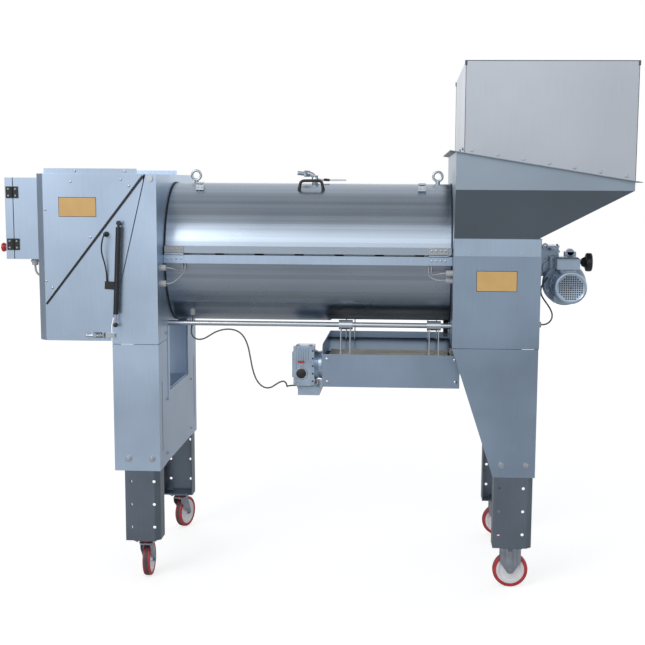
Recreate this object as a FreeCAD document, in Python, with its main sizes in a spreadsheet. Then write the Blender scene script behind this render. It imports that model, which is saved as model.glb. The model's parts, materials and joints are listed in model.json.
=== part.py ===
import FreeCAD, Part
import math
import os
import re
import Sketcher

# Grape crusher destemmer, in millimetres.  +X runs along the drum from the stalk end to the feed hopper,
# -Y is the operator's side, +Z is up.  The origin is on the floor, under the middle of the machine.
# Every sub-part is one object of the document, built where it sits on the machine.

os.makedirs("parts", exist_ok=True)
doc = FreeCAD.newDocument("GrapeDestemmer")

# ---------------------------------------------------------------- driving dimensions
SIZES = {
    # frame and legs
    "frame_half": 450, "portal_x": -618, "portal_left": -813, "column_depth": 60, "column_top": 1739,
    "column_neck_x": -661, "column_knee_z": 1110, "seam_z": 1032, "leg_foot": 488, "leg_depth": 139,
    "plate": 4, "sheet": 3, "gap": 2, "window_half": 224, "window_sill": 802, "window_head": 1088,
    "inner_foot": 180, "inner_top": 700, "inner_flange": 108, "inner_chamfer": 22, "hole_pitch": 100,
    "hole_x": 50, "left_inner_x": -772, "left_inner_end": -624, "right_inner_x": 796,
    "right_inner_end": 960, "right_foot_x": 790, "right_leg_end": 966,
    # feed housing and hopper
    "housing_x": 610, "housing_end": 968, "housing_top": 1418, "collar_end": 954, "collar_top": 1486,
    "hopper_half": 550, "hopper_end": 1318, "slope_top": 1684, "rim_high": 1833, "rim_low": 1720,
    "rim_lip": 26, "extension_x": 642, "hopper_top": 2190, "trough_r": 248, "trough_x": 616,
    # drum casing, door and cage
    "axis_z": 1400, "casing_r": 305, "portal_hole_r": 262, "housing_hole_r": 246, "door_top_y": 118,
    "door_sill": 1409, "rail_top": 1401, "rail_low": 1365, "rail_y": 320, "hinge_y": 323, "hinge_z": 1404,
    "cage_r": 250, "cage_x": -660, "cage_end": 606, "cage_hole_r": 20, "shaft_r": 25, "shaft_x": -745,
    "shaft_end": 1070, "running": 0.05, "beater_r": 232,
    # cage drive
    "gear_x": 584, "gear_end": 604, "tooth_module": 6, "ring_teeth": 95, "pinion_teeth": 14,
    "layshaft_r": 12, "small_sprocket_r": 36, "large_sprocket_r": 72, "chain_x": 982, "chain_end": 990,
    "guard_end": 1006, "guard_half": 88,
    # crusher unit
    "bar_y": 220, "bar_z": 1099, "bar_r": 11, "collar_r": 20.5, "crusher_x": 57, "crusher_end": 651,
    "crusher_half": 258, "crusher_low": 831, "crusher_lip": 974, "crusher_back": 1016, "roller_y": 60,
    "roller_z": 900, "roller_r": 54, "roller_shaft_r": 15, "roller_teeth": 20,
    # hood
    "pivot_x": -644, "pivot_z": 1721, "hood_x": -1127, "hood_face_x": -1093, "hood_low": 1044,
    "hood_bevel": 34, "box_x": -1258, "box_door_x": -1292, "box_low": 1377, "box_high": 1722,
    "box_front": -330, "box_back": -10, "strut_y": 474, "strut_top_x": -770, "strut_top_z": 1538,
    "strut_foot_x": -791, "strut_foot_z": 1116, "strut_body": 362,
    # casters
    "wheel_r": 75, "wheel_width": 32, "tyre": 15, "axle_r": 6, "trail": 45, "caster_y": 395,
    "left_caster_x": -693, "right_caster_x": 876,
}

sheet = doc.addObject("Spreadsheet::Sheet", "Sizes")
for row, (alias, size) in enumerate(SIZES.items(), 1):
    sheet.set(f"A{row}", alias)
    sheet.set(f"B{row}", str(size))
    sheet.setAlias(f"B{row}", alias)
doc.recompute()

NAMES = re.compile(r"\b[a-z][a-z_]*\b")
nodes = []


def formula(text):
    """Point every size named in an expression at its cell."""
    return NAMES.sub(lambda found: "Sizes." + found.group() if found.group() in SIZES else found.group(),
                     str(text))


def number(text):
    """Value of an expression of sizes."""
    if isinstance(text, (int, float)):
        return float(text)
    value = sheet.evalExpression(formula(text))
    return float(getattr(value, "Value", value))


def bind(thing, field, text):
    """Drive one property by an expression, or set it where it is a plain number."""
    if isinstance(text, (int, float)):
        text = repr(text)
    thing.setExpression(field, formula(text))


def node(thing, name):
    """Name a finished sub-part; its label is the name of its file."""
    thing.Label = name
    nodes.append(thing)
    return thing


def place(thing, x, y, z, turn=None):
    """Put a primitive at a point, with an optional (axis, degrees) turn."""
    if turn:
        rotation = FreeCAD.Rotation(FreeCAD.Vector(*turn[0]), turn[1])
        thing.Placement = FreeCAD.Placement(FreeCAD.Vector(), rotation)
    for field, text in (("x", x), ("y", y), ("z", z)):
        bind(thing, "Placement.Base." + field, text)
    return thing


def box(x, y, z):
    """Block between the low and high value of each axis."""
    block = doc.addObject("Part::Box", "Block")
    for field, span in (("Length", x), ("Width", y), ("Height", z)):
        bind(block, field, f"({span[1]}) - ({span[0]})")
    return place(block, x[0], y[0], z[0])


TURNS = {"x": ((0, 1, 0), 90), "y": ((1, 0, 0), -90), "z": None}


def rod(axis, start, radius, length, other=None):
    """Round bar (or cone, where other gives the far radius) from start along +X, +Y or +Z."""
    if other is None:
        bar = doc.addObject("Part::Cylinder", "Rod")
        bind(bar, "Radius", radius)
    else:
        bar = doc.addObject("Part::Cone", "Cone")
        bind(bar, "Radius1", radius)
        bind(bar, "Radius2", other)
    bind(bar, "Height", length)
    return place(bar, *start, TURNS[axis])


def tube(axis, start, outer, inner, length):
    """Round tube from start along an axis."""
    return cut(rod(axis, start, outer, length), rod(axis, start, inner, length))


def combine(kind, things):
    """Boolean or group of several things."""
    joined = doc.addObject(kind, kind.replace("Part::", ""))
    if kind == "Part::Compound":
        joined.Links = things
    else:
        joined.Shapes = things
    return joined


def fuse(*things):
    return combine("Part::MultiFuse", list(things))


def group(*things):
    return combine("Part::Compound", list(things))


def cut(base, *tools):
    """Base with every tool taken away."""
    piece = doc.addObject("Part::Cut", "Cut")
    piece.Base = base
    piece.Tool = tools[0] if len(tools) == 1 else group(*tools)
    return piece


def prism(plane, points, low, high):
    """Body padded between low and high along the normal of XY, XZ or YZ, from a closed outline."""
    body = doc.addObject("PartDesign::Body", "Panel")
    role = plane + "_Plane"
    base = [feature for feature in body.Origin.OriginFeatures if feature.Role == role][0]
    sketch = body.newObject("Sketcher::SketchObject", "Outline")
    sketch.AttachmentSupport = [(base, "")]
    sketch.MapMode = "FlatFace"
    places = [FreeCAD.Vector(number(a), number(b), 0) for a, b in points]
    count = len(places)
    for index, start in enumerate(places):
        sketch.addGeometry(Part.LineSegment(start, places[(index + 1) % count]), False)
    for index in range(count):
        sketch.addConstraint(Sketcher.Constraint("Coincident", index, 2, (index + 1) % count, 1))
    for index, (across, up) in enumerate(points):
        for kind, text in (("DistanceX", across), ("DistanceY", up)):
            rule = sketch.addConstraint(Sketcher.Constraint(kind, -1, 1, index, 1, number(text)))
            if isinstance(text, str):
                bind(sketch, f"Constraints[{rule}]", text)
    pad = body.newObject("PartDesign::Pad", "Pad")
    pad.Profile = sketch
    pad.Reversed = plane == "XZ"
    bind(pad, "Length", f"({high}) - ({low})")
    bind(body, "Placement.Base." + {"XY": "z", "XZ": "y", "YZ": "x"}[plane], low)
    return body


def side_span(side, inner, outer):
    """Span between two distances from the middle plane, on the front (-1) or rear (1) side."""
    return (f"-({outer})", f"-({inner})") if side < 0 else (inner, outer)


def solid_feature(shape):
    """Sub-part whose outline only a calculation gives."""
    feature = doc.addObject("Part::Feature", "Formed")
    feature.Shape = shape
    return feature


def vector(x, y, z):
    return FreeCAD.Vector(x, y, z)


def turned_copy(thing, x, y, z, axis, angle):
    """The same piece again, turned about an axis through the point (x, y, z)."""
    copy = doc.addObject("Part::Compound", "Turned")
    copy.Links = [thing]
    centre = vector(number(x), number(y), number(z))
    turn = FreeCAD.Rotation(vector(*axis), angle)
    copy.Placement = FreeCAD.Placement(centre - turn.multVec(centre), turn)
    return copy


# ---------------------------------------------------------------- portal frame at the stalk end
def portal_frame():
    """End plate with its two tapered box columns and the bridge that carries the shaft bearing."""
    inner_x = "portal_x - plate"
    taper = [(inner_x, "seam_z"), ("portal_left", "seam_z"), ("portal_left", "column_knee_z"),
             ("column_neck_x", "column_top"), (inner_x, "column_top")]
    hollow = [("portal_x - 2 * plate", "seam_z + plate"), ("portal_left + plate", "seam_z + plate"),
              ("portal_left + plate", "column_knee_z"), ("column_neck_x + 1", "column_top - plate"),
              ("portal_x - 2 * plate", "column_top - plate")]
    pieces = []
    for side in (-1, 1):
        y = side_span(side, "frame_half - column_depth", "frame_half")
        open_y = side_span(side, "frame_half - column_depth - 1", "frame_half - plate")
        pin_y = "-frame_half - 1" if side < 0 else "frame_half - 2 * plate"
        pin_hole = rod("y", ("pivot_x", pin_y, "pivot_z"), 8, "2 * plate + 1")
        pieces.append(cut(prism("XZ", taper, *y), prism("XZ", hollow, *open_y), pin_hole))
    end_plate = box((inner_x, "portal_x"), ("-frame_half", "frame_half"), ("seam_z", "column_top"))
    mouth = rod("x", ("portal_x - 2 * plate", 0, "axis_z"), "portal_hole_r", "3 * plate")
    window = box(("portal_x - 2 * plate", "portal_x + plate"), ("-window_half", "window_half"),
                 ("seam_z - 1", "window_head"))
    bridge_y = "frame_half - column_depth"
    bridge = box((-712, -700), (f"-({bridge_y})", bridge_y), ("axis_z - 32", "axis_z + 32"))
    bridge_hole = rod("x", (-713, 0, "axis_z"), "shaft_r + 8", 14)
    tabs = []
    for side in (-1, 1):
        y = side_span(side, f"{bridge_y} - 4", "frame_half - plate")
        tabs.append(box((-700, "portal_x - plate"), y, ("axis_z - 32", "axis_z + 32")))
    frame = fuse(*pieces, cut(end_plate, mouth, window), cut(bridge, bridge_hole), *tabs)
    node(frame, "portal_frame")


def outer_legs():
    """Channel legs, open towards the middle of the machine, with the guide slot of the inner leg."""
    top = "seam_z - gap"
    left = []
    for side in (-1, 1):
        y = side_span(side, "frame_half - leg_depth", "frame_half")
        hollow_y = side_span(side, "frame_half - leg_depth - 1", "frame_half - plate")
        slot_y = side_span(side, "frame_half - 71", "frame_half - 61")
        lip_y = side_span(side, "frame_half - leg_depth", "frame_half - leg_depth + sheet")
        channel = cut(box(("portal_left", "portal_x"), y, ("leg_foot", top)),
                      box(("portal_left + plate", "portal_x - plate"), hollow_y, ("leg_foot - 1", "seam_z")),
                      box(("portal_x - 2 * plate", "portal_x + 1"), slot_y, (565, 865)))
        lip = box(("portal_x - 62", "portal_x - plate"), lip_y, (817, top))
        left.append(fuse(channel, lip))
    node(group(*left), "legs_outer_left")
    right = []
    for side in (-1, 1):
        y = side_span(side, "frame_half - leg_depth", "frame_half")
        hollow_y = side_span(side, "frame_half - leg_depth - 1", "frame_half - plate")
        slot_y = side_span(side, "frame_half - 71", "frame_half - 61")
        taper = [("housing_x", top), ("right_foot_x", "leg_foot"), ("right_leg_end", "leg_foot"),
                 ("right_leg_end", top)]
        hollow = [("housing_x + plate", "seam_z"), ("right_foot_x + plate", "leg_foot - 1"),
                  ("right_leg_end - plate", "leg_foot - 1"), ("right_leg_end - plate", "seam_z")]
        slot = box(("right_leg_end - 2 * plate", "right_leg_end + 1"), slot_y, (565, 865))
        right.append(cut(prism("XZ", taper, *y), prism("XZ", hollow, *hollow_y), slot))
    node(group(*right), "legs_outer_right")


def cross_panel():
    """Panel between the left legs, with a window and the bolted frame round it."""
    edge = "frame_half - leg_depth"
    outline = [(f"-({edge})", "leg_foot + plate"), (edge, "leg_foot + plate"), (edge, "seam_z - gap"),
               ("window_half", "seam_z - gap"), ("window_half", "window_sill"),
               ("-window_half", "window_sill"), ("-window_half", "seam_z - gap"),
               (f"-({edge})", "seam_z - gap")]
    panel = prism("YZ", outline, "portal_x - sheet", "portal_x")
    rim = "window_half + 37"
    frame = [(f"-({rim})", "window_sill - 37"), (rim, "window_sill - 37"), (rim, "window_head"),
             ("window_half", "window_head"), ("window_half", "window_sill"),
             ("-window_half", "window_sill"), ("-window_half", "window_head"), (f"-({rim})", "window_head")]
    node(group(panel, prism("YZ", frame, "portal_x", "portal_x + sheet")), "cross_panel")


# ---------------------------------------------------------------- telescopic legs and casters
def inner_leg(name, low_x, high_x, side, fixed_caster_x=None):
    """Inner leg: a channel with one bevelled corner, two rows of pin holes and a foot plate."""
    face = "frame_half - plate - 1"
    bevel = "inner_chamfer"
    back = "frame_half - inner_flange"
    outline = [(low_x, back), (low_x, face), (f"{high_x} - {bevel}", face),
               (high_x, f"{face} - {bevel}"), (high_x, back), (f"{high_x} - plate", back),
               (f"{high_x} - plate", f"{face} - {bevel} - 1.6"),
               (f"{high_x} - {bevel} - 1.6", f"{face} - plate"), (f"{low_x} + plate", f"{face} - plate"),
               (f"{low_x} + plate", back)]
    if side < 0:
        outline = [(x, f"-({y})") for x, y in outline]
    channel = prism("XY", outline, "inner_foot", "inner_top")
    foot = box((low_x, high_x), side_span(side, back, f"{face} - {bevel}"), ("inner_foot", "inner_foot + 6"))
    middle = f"{low_x} + 74"
    holes = []
    for column in (-1, 1):
        for level in range(4):
            start = ("-(frame_half + 1)" if side < 0 else "frame_half - 25")
            holes.append(rod("y", (f"{middle} + {column} * hole_x", start, f"240 + {level} * hole_pitch"),
                             6.5, 26))
    leg = cut(fuse(channel, foot), *holes)
    caster_x = fixed_caster_x or "left_caster_x"
    y = f"{side} * caster_y"
    plate_top = box((f"{caster_x} - 48", f"{caster_x} + 48"), (f"{y} - 38", f"{y} + 38"),
                    ("inner_foot - 6", "inner_foot"))
    if fixed_caster_x is None:
        return node(group(leg, plate_top), name)
    return node(group(leg, fuse(plate_top, caster_fork(caster_x, y, 0, 0, "inner_foot - 6"))), name)


def caster_fork(x, y, offset, yaw, head_top):
    """Pressed steel fork with its head and axle; offset is the trail of a swivelling fork."""
    arm = "wheel_width / 2 + 4"
    top = "inner_foot"
    head = rod("z", (x, y, f"{top} - 21"), 26, f"{head_top} - ({top} - 21)")
    reach = 30 if offset else 44
    bridge = box((f"{x} - {reach}", f"{x} + {reach}"), (f"{y} - ({arm}) - 3", f"{y} + ({arm}) + 3"),
                 (f"{top} - 24", f"{top} - 20"))
    centre = f"{x} + {offset}"
    arms = []
    for hand in (-1, 1):
        low = f"{y} - ({arm}) - 3" if hand < 0 else f"{y} + ({arm})"
        tip = [(f"{centre} - 14", "wheel_r - 6"), (f"{centre} - 6", "wheel_r - 14"),
               (f"{centre} + 6", "wheel_r - 14"), (f"{centre} + 14", "wheel_r - 6")]
        if offset:
            outline = [(f"{x} - 30", f"{top} - 20"), *tip, (f"{x} + 30", f"{top} - 20")]
        else:
            outline = [(f"{x} - 44", f"{top} - 20"), (f"{x} - 44", "wheel_r + 36"), *tip,
                       (f"{x} + 44", "wheel_r + 36"), (f"{x} + 44", f"{top} - 20")]
        arms.append(prism("XZ", outline, low, f"{low} + 3"))
    axle = rod("y", (centre, f"{y} - ({arm}) - 9", "wheel_r"), "axle_r", f"2 * ({arm}) + 18")
    fork = fuse(head, bridge, *arms, axle)
    return turned_copy(fork, x, y, 0, (0, 0, 1), yaw) if yaw else fork


def caster_wheel(name, x, y, offset, yaw):
    """Hub with its bearing bore, and the tyre moulded round it as a solid of its own."""
    centre = f"{x} + {offset}"
    start = (centre, f"{y} - wheel_width / 2", "wheel_r")
    hub = tube("y", start, "wheel_r - tyre", "axle_r + running", "wheel_width")
    tyre = tube("y", start, "wheel_r", "wheel_r - tyre", "wheel_width")
    wheel = group(hub, tyre)
    node(turned_copy(wheel, x, y, 0, (0, 0, 1), yaw) if yaw else wheel, name)


def legs_and_casters():
    """Four telescopic legs: swivelling casters at the stalk end, fixed ones at the hopper end."""
    inner_leg("leg_inner_front_left", "left_inner_x", "left_inner_end", -1)
    inner_leg("leg_inner_rear_left", "left_inner_x", "left_inner_end", 1)
    inner_leg("leg_inner_front_right", "right_inner_x", "right_inner_end", -1, "right_caster_x")
    inner_leg("leg_inner_rear_right", "right_inner_x", "right_inner_end", 1, "right_caster_x")
    for end, side, yaw in (("front", -1, 90), ("rear", 1, 70)):
        y = f"{side} * caster_y"
        node(caster_fork("left_caster_x", y, "trail", yaw, "inner_foot - 6.5"), f"caster_fork_{end}_left")
        caster_wheel(f"caster_wheel_{end}_left", "left_caster_x", y, "trail", yaw)
        caster_wheel(f"caster_wheel_{end}_right", "right_caster_x", y, "0", 0)


# ---------------------------------------------------------------- feed housing and hopper
# height of the layshaft, one gear centre distance under the drum axis
LAYSHAFT_Z = "axis_z - tooth_module * (ring_teeth + pinion_teeth) / 2"


def feed_housing():
    """Box under the hopper, its collar, and the feed trough that guides the grapes into the cage."""
    half = "frame_half"
    walls = cut(box(("housing_x", "housing_end"), (f"-{half}", half), ("seam_z", "housing_top")),
                box(("housing_x + sheet", "housing_end - sheet"), (f"-{half} + sheet", f"{half} - sheet"),
                    ("seam_z + sheet", "housing_top + 1")),
                rod("x", ("housing_x - 1", 0, LAYSHAFT_Z), "layshaft_r + 4", "sheet + 2"),
                rod("x", ("housing_end - sheet - 1", 0, LAYSHAFT_Z), "layshaft_r + 4", "sheet + 2"))
    collar = cut(box(("housing_x", "collar_end"), (f"-{half} + 2", f"{half} - 2"),
                     ("housing_top", "collar_top")),
                 box(("housing_x + sheet", "collar_end - sheet"), (f"-{half} + 5", f"{half} - 5"),
                     ("housing_top - 1", "collar_top + 1")))
    shelf = cut(box(("collar_end - sheet", "housing_end"), (f"-{half} + 2", f"{half} - 2"),
                    ("housing_top", "housing_top + sheet")),
                box(("collar_end - sheet - 1", "collar_end - sheet"), (-1, 1), ("housing_top", "collar_top")))
    cradle = cut(rod("x", ("trough_x", 0, "axis_z"), "trough_r + sheet", "housing_end - sheet - trough_x"),
                 rod("x", ("trough_x - 1", 0, "axis_z"), "trough_r", "housing_end - trough_x"),
                 box(("trough_x - 1", "housing_end"), (-300, 300), ("axis_z", "axis_z + 300")))
    wings = []
    for side in (-1, 1):
        outline = [(f"{side} * trough_r", "axis_z"), (f"{side} * (trough_r + sheet)", "axis_z"),
                   (f"{side} * ({half} - 6)", "housing_top + 40"),
                   (f"{side} * ({half} - 9)", "housing_top + 40")]
        wings.append(prism("YZ", outline, "trough_x", "collar_end - sheet"))
    feed_hole = rod("x", ("housing_x - 1", 0, "axis_z"), "housing_hole_r", "sheet + 2")
    bearing_seat = rod("x", ("collar_end - 2 * sheet", 0, "axis_z"), 40.3, "housing_end + sheet - collar_end")
    shaft_hole = rod("x", ("housing_end - 2 * sheet", 0, "axis_z"), "shaft_r + 10", "3 * sheet")
    shell = cut(fuse(walls, collar, shelf), feed_hole, bearing_seat, shaft_hole)
    node(group(shell, fuse(cradle, *wings)), "feed_housing")


def slope_z(x):
    """Height of the sloped rim plane at x."""
    return f"(rim_high + (rim_low - rim_high) * (({x}) - housing_x) / (hopper_end - housing_x))"


def frustum(inset):
    """Funnel block from the collar to the widest level, drawn in by inset on every side."""
    block = doc.addObject("Part::Wedge", "Funnel")
    values = {"Xmin": f"housing_x + {inset}", "Xmax": f"collar_end - {inset} * 1.2",
              "X2min": f"housing_x + {inset}", "X2max": f"hopper_end - {inset} * 1.2",
              "Zmin": f"-frame_half + {inset} * 1.2", "Zmax": f"frame_half - {inset} * 1.2",
              "Z2min": f"-hopper_half + {inset} * 1.2", "Z2max": f"hopper_half - {inset} * 1.2",
              "Ymin": "collar_top", "Ymax": "slope_top"}
    for field, text in values.items():
        bind(block, field, text)
    block.Placement = FreeCAD.Placement(vector(0, 0, 0), FreeCAD.Rotation(vector(1, 0, 0), 90))
    return block


def hopper():
    """Funnel with its sloped rim, and the straight extension bolted on the rim."""
    half = "hopper_half"
    band = cut(box(("housing_x", "hopper_end"), (f"-{half}", half), ("slope_top", "rim_high + 5")),
               box(("housing_x + sheet", "hopper_end - sheet"), (f"-{half} + sheet", f"{half} - sheet"),
                   ("slope_top - 1", "rim_high + 6")))
    over = [("housing_x - 50", slope_z("housing_x - 50")), ("hopper_end + 50", slope_z("hopper_end + 50")),
            ("hopper_end + 50", "rim_high + 50"), ("housing_x - 50", "rim_high + 50")]
    band = cut(band, prism("XZ", over, f"-{half} - 5", f"{half} + 5"))
    west = "housing_x - rim_lip"
    east = "hopper_end + rim_lip"
    rim = [(west, slope_z(west)), (east, slope_z(east)), (east, f"{slope_z(east)} + sheet"),
           (west, f"{slope_z(west)} + sheet")]
    mouth = box(("extension_x + sheet", "hopper_end - sheet"), (f"-{half} + sheet", f"{half} - sheet"),
                ("slope_top", "rim_high + 20"))
    rim = cut(prism("XZ", rim, f"-{half} - rim_lip", f"{half} + rim_lip"), mouth)
    feed_hole = rod("x", ("housing_x - 1", 0, "axis_z"), "housing_hole_r", "sheet + 2")
    node(cut(fuse(cut(frustum(0), frustum("sheet")), band, rim), feed_hole), "hopper_funnel")
    walls = cut(box(("extension_x", "hopper_end"), (f"-{half}", half), ("rim_low", "hopper_top")),
                box(("extension_x + sheet", "hopper_end - sheet"), (f"-{half} + sheet", f"{half} - sheet"),
                    ("rim_low - 1", "hopper_top + 1")))
    under = [("housing_x - 50", f"{slope_z('housing_x - 50')} + sheet"),
             ("hopper_end + 50", f"{slope_z('hopper_end + 50')} + sheet"),
             ("hopper_end + 50", "rim_low - 60"), ("housing_x - 50", "rim_low - 60")]
    node(cut(walls, prism("XZ", under, f"-{half} - 5", f"{half} + 5")), "hopper_extension")


# ---------------------------------------------------------------- drum casing and door
def casing_ring(low_x, high_x):
    """Full ring of the drum casing between two stations."""
    return tube("x", (low_x, 0, "axis_z"), "casing_r", "casing_r - sheet", f"({high_x}) - ({low_x})")


HINGE_X = (-612, 510)
HINGE_LENGTH = 82


def casing():
    """Fixed lower half with the fall-through opening, and the fixed rear quarter with the spine."""
    low_x, high_x = "portal_x", "housing_x"
    beyond = "casing_r + 5"
    opening = box((80, 607), (-90, 90), ("axis_z - casing_r - 5", "axis_z - 200"))
    upper_half = box((f"{low_x} - 1", f"{high_x} + 1"), (f"-({beyond})", beyond), ("axis_z", "axis_z + 320"))
    node(cut(casing_ring(low_x, high_x), upper_half, opening), "casing_lower")
    lower_half = box((f"{low_x} - 1", f"{high_x} + 1"), (f"-({beyond})", beyond), ("axis_z - 320", "axis_z"))
    door_side = box((f"{low_x} - 1", f"{high_x} + 1"), (f"-({beyond})", "-door_top_y"),
                    ("axis_z - 320", "axis_z + 320"))
    node(cut(casing_ring(low_x, high_x), lower_half, door_side), "casing_rear")
    rail = cut(box((f"{low_x} + 1", f"{high_x} - 1"), ("-rail_y", "-casing_r + 5"), ("rail_low", "rail_top")),
               rod("x", (low_x, 0, "axis_z"), "casing_r", "1300"))
    leaves = []
    for x in HINGE_X:
        leaf = box((x, x + HINGE_LENGTH), ("-rail_y - 2", "-rail_y"), ("rail_low + 5", "rail_top"))
        knuckle = rod("x", (x, "-hinge_y", "hinge_z"), 4.5, HINGE_LENGTH)
        leaves.append(fuse(leaf, knuckle))
    node(group(rail, *leaves), "door_rail")


def door():
    """Curved front door on its hinges, with its sill strip, handle, latch bases and latch levers."""
    low_x, high_x = "portal_x + 4", "housing_x - 4"
    shell = cut(casing_ring(low_x, high_x),
                box(("portal_x", "housing_x"), ("-door_top_y - gap", 320), ("axis_z - 320", "axis_z + 320")),
                box(("portal_x", "housing_x"), (-320, 320), ("axis_z - 320", "door_sill")))
    sill = cut(box((low_x, high_x), ("-rail_y + 2", -290), ("door_sill", "door_sill + 30")),
               rod("x", ("portal_x", 0, "axis_z"), "casing_r - sheet", "1300"))
    node(fuse(shell, sill), "door_front")
    leaves = [box((x, x + HINGE_LENGTH), ("-hinge_y", "-rail_y + 2"), ("hinge_z + 5.5", "door_sill + 29"))
              for x in HINGE_X]
    feet = [box((x, x + 15), (-134, -112), (1672, 1712)) for x in (-58, 38)]
    grip = box((-58, 53), (-134, -120), (1711, 1723))
    handle = cut(fuse(*feet, grip), rod("x", (-60, 0, "axis_z"), "casing_r", 120))
    bases = []
    for name, x in (("left", -506), ("right", 462)):
        base = box((x, x + 34), (-141, -127), (1672, 1697))
        ears = [box((ear_x, ear_x + 3), (-139, -129), (1697, 1708)) for ear_x in (x, x + 31)]
        pin = rod("x", (x, -134, 1703), 2, 34)
        bases.append(cut(fuse(base, *ears, pin), rod("x", (x - 1, 0, "axis_z"), "casing_r", 36)))
        lever = box((x + 5, x + 29), (-134, -88), (1703, 1707))
        hook = box((x + 5, x + 29), (-92, -88), (1694, 1703))
        barrel = rod("x", (x + 3.5, -134, 1703), 5, 27)
        bore = rod("x", (x + 3, -134, 1703), "2 + running", 28)
        node(cut(fuse(lever, hook, barrel), bore), f"door_latch_{name}")
    node(group(handle, *leaves, *bases), "door_fittings")


def top_fittings():
    """Lifting eyebolts on the spine, the wash-water inlet and its valve lever."""
    eyes = []
    for x in (-527, 549):
        ring = doc.addObject("Part::Torus", "Ring")
        ring.Radius1 = 20
        ring.Radius2 = 5.5
        place(ring, x, 0, 1738, ((1, 0, 0), 90))
        shank = cut(rod("z", (x, 0, 1703), 10, 14), rod("x", (x - 20, 0, "axis_z"), "casing_r", 40))
        eyes.append(fuse(ring, shank))
    node(group(*eyes), "eyebolts")
    riser = cut(rod("z", (6, -20, 1702), 11, 45), rod("x", (-20, 0, "axis_z"), "casing_r", 60))
    nut = rod("x", (-42, -20, 1747), 14, 14)
    elbow = rod("x", (-28, -20, 1747), 11, 34)
    knee = doc.addObject("Part::Sphere", "Knee")
    knee.Radius = 11
    place(knee, 6, -20, 1747)
    # the tail tilts up, so that a hose goes on past the eyebolt and the hood
    barb = fuse(rod("x", (-72, -20, 1747), 9.5, 26.5), rod("x", (-46, -20, 1747), 7.5, 6))
    tail = turned_copy(barb, -42, -20, 1747, (0, 1, 0), 6)
    stem = rod("y", (6, -20, 1722), 6, 16)
    node(fuse(riser, nut, elbow, knee, tail, stem), "wash_inlet")
    hub = rod("y", (6, -3.6, 1722), 9, 6)
    lever = box((6, 143), (-3.6, -0.6), (1714, 1724))
    node(fuse(hub, lever), "wash_lever")


# ---------------------------------------------------------------- rotating parts and their drive
def gear_outline(teeth, module, phase):
    """Corner points of a spur gear with straight-sided teeth, narrow enough to run free in mesh."""
    pitch_r = teeth * module / 2
    points = []
    for tooth in range(teeth):
        middle = 2 * math.pi * (tooth + phase) / teeth
        for share, height in ((-0.30, -1.0), (-0.12, 0.8), (0.12, 0.8), (0.30, -1.0)):
            angle = middle + share * 2 * math.pi / teeth
            radius = pitch_r + height * module
            points.append((radius * math.cos(angle), radius * math.sin(angle)))
    return points


def gear_solid(teeth, phase, y, z, low_x, high_x, bore):
    """Spur gear about an X axis; a phase of 0 puts a tooth on the axis' +Y side."""
    points = [vector(low_x, y + a, z + b) for a, b in gear_outline(teeth, number("tooth_module"), phase)]
    face = Part.Face(Part.makePolygon(points + points[:1]))
    blank = face.extrude(vector(high_x - low_x, 0, 0))
    return blank.cut(Part.makeCylinder(bore, high_x - low_x + 2, vector(low_x - 1, y, z), vector(1, 0, 0)))


def spider(x):
    """Three-armed wheel that carries one end of the cage on the shaft."""
    hub = tube("x", (x, 0, "axis_z"), "shaft_r + 15", "shaft_r + running", 30)
    arms = []
    for angle in (90, 210, 330):
        arm = box((x, x + 6), (-22, 22), ("axis_z + shaft_r + 10", "axis_z + cage_r - sheet - 0.9"))
        arms.append(turned_copy(arm, x, 0, "axis_z", (1, 0, 0), angle - 90))
    return fuse(hub, *arms)


def cage():
    """Perforated cage with a spider at each end and the toothed ring that drives it."""
    length = "cage_end - cage_x"
    wall = tube("x", ("cage_x", 0, "axis_z"), "cage_r", "cage_r - sheet", length)
    holes = []
    for station in range(13):
        for turn in range(4):
            across = rod("z", (-560 + 86 * station, 0, "axis_z - cage_r - 5"), "cage_hole_r",
                         "2 * cage_r + 10")
            angle = 45 * turn + 22.5 * (station % 2)
            holes.append(turned_copy(across, 0, 0, "axis_z", (1, 0, 0), angle))
    low_x, high_x = number("gear_x"), number("gear_end")
    # the phase of a quarter tooth puts one of the ring's teeth at its lowest point
    ring = gear_solid(SIZES["ring_teeth"], 0.25, 0, number("axis_z"), low_x, high_x, number("cage_r"))
    node(group(cut(wall, *holes), spider(-655), spider(556), solid_feature(ring)), "cage_drum")


def beater():
    """Beater shaft with its chain sprocket, the helix of paddles, and the feed auger."""
    shaft = rod("x", ("shaft_x", 0, "axis_z"), "shaft_r", "shaft_end - shaft_x")
    sprocket = rod("x", ("chain_x", 0, "axis_z"), "small_sprocket_r", "chain_end - chain_x")
    node(fuse(shaft, sprocket), "beater_shaft")
    paddles = []
    for index in range(19):
        x = -590 + 61 * index
        post = cut(rod("z", (x, 0, "axis_z + shaft_r - 4"), 8, "beater_r - shaft_r - 10"),
                   rod("x", (x - 20, 0, "axis_z"), "shaft_r", 40))
        blade = box((x - 24, x + 24), (-3, 3), ("axis_z + beater_r - 45", "axis_z + beater_r"))
        blade = turned_copy(blade, x, 0, 0, (0, 0, 1), 35)
        paddles.append(turned_copy(fuse(post, blade), x, 0, "axis_z", (1, 0, 0), 60 * index))
    node(group(*paddles), "beater_paddles")
    pitch, height = 150, 270
    inner = Part.makeHelix(pitch, height, number("shaft_r"))
    outer = Part.makeHelix(pitch, height, number("beater_r"))
    flight = Part.makeRuledSurface(inner.Edges[0], outer.Edges[0]).extrude(vector(0, 0, 4))
    auger = solid_feature(flight)
    auger.Placement = FreeCAD.Placement(vector(655, 0, number("axis_z")),
                                        FreeCAD.Rotation(vector(0, 1, 0), 90))
    node(auger, "feed_auger")


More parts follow.
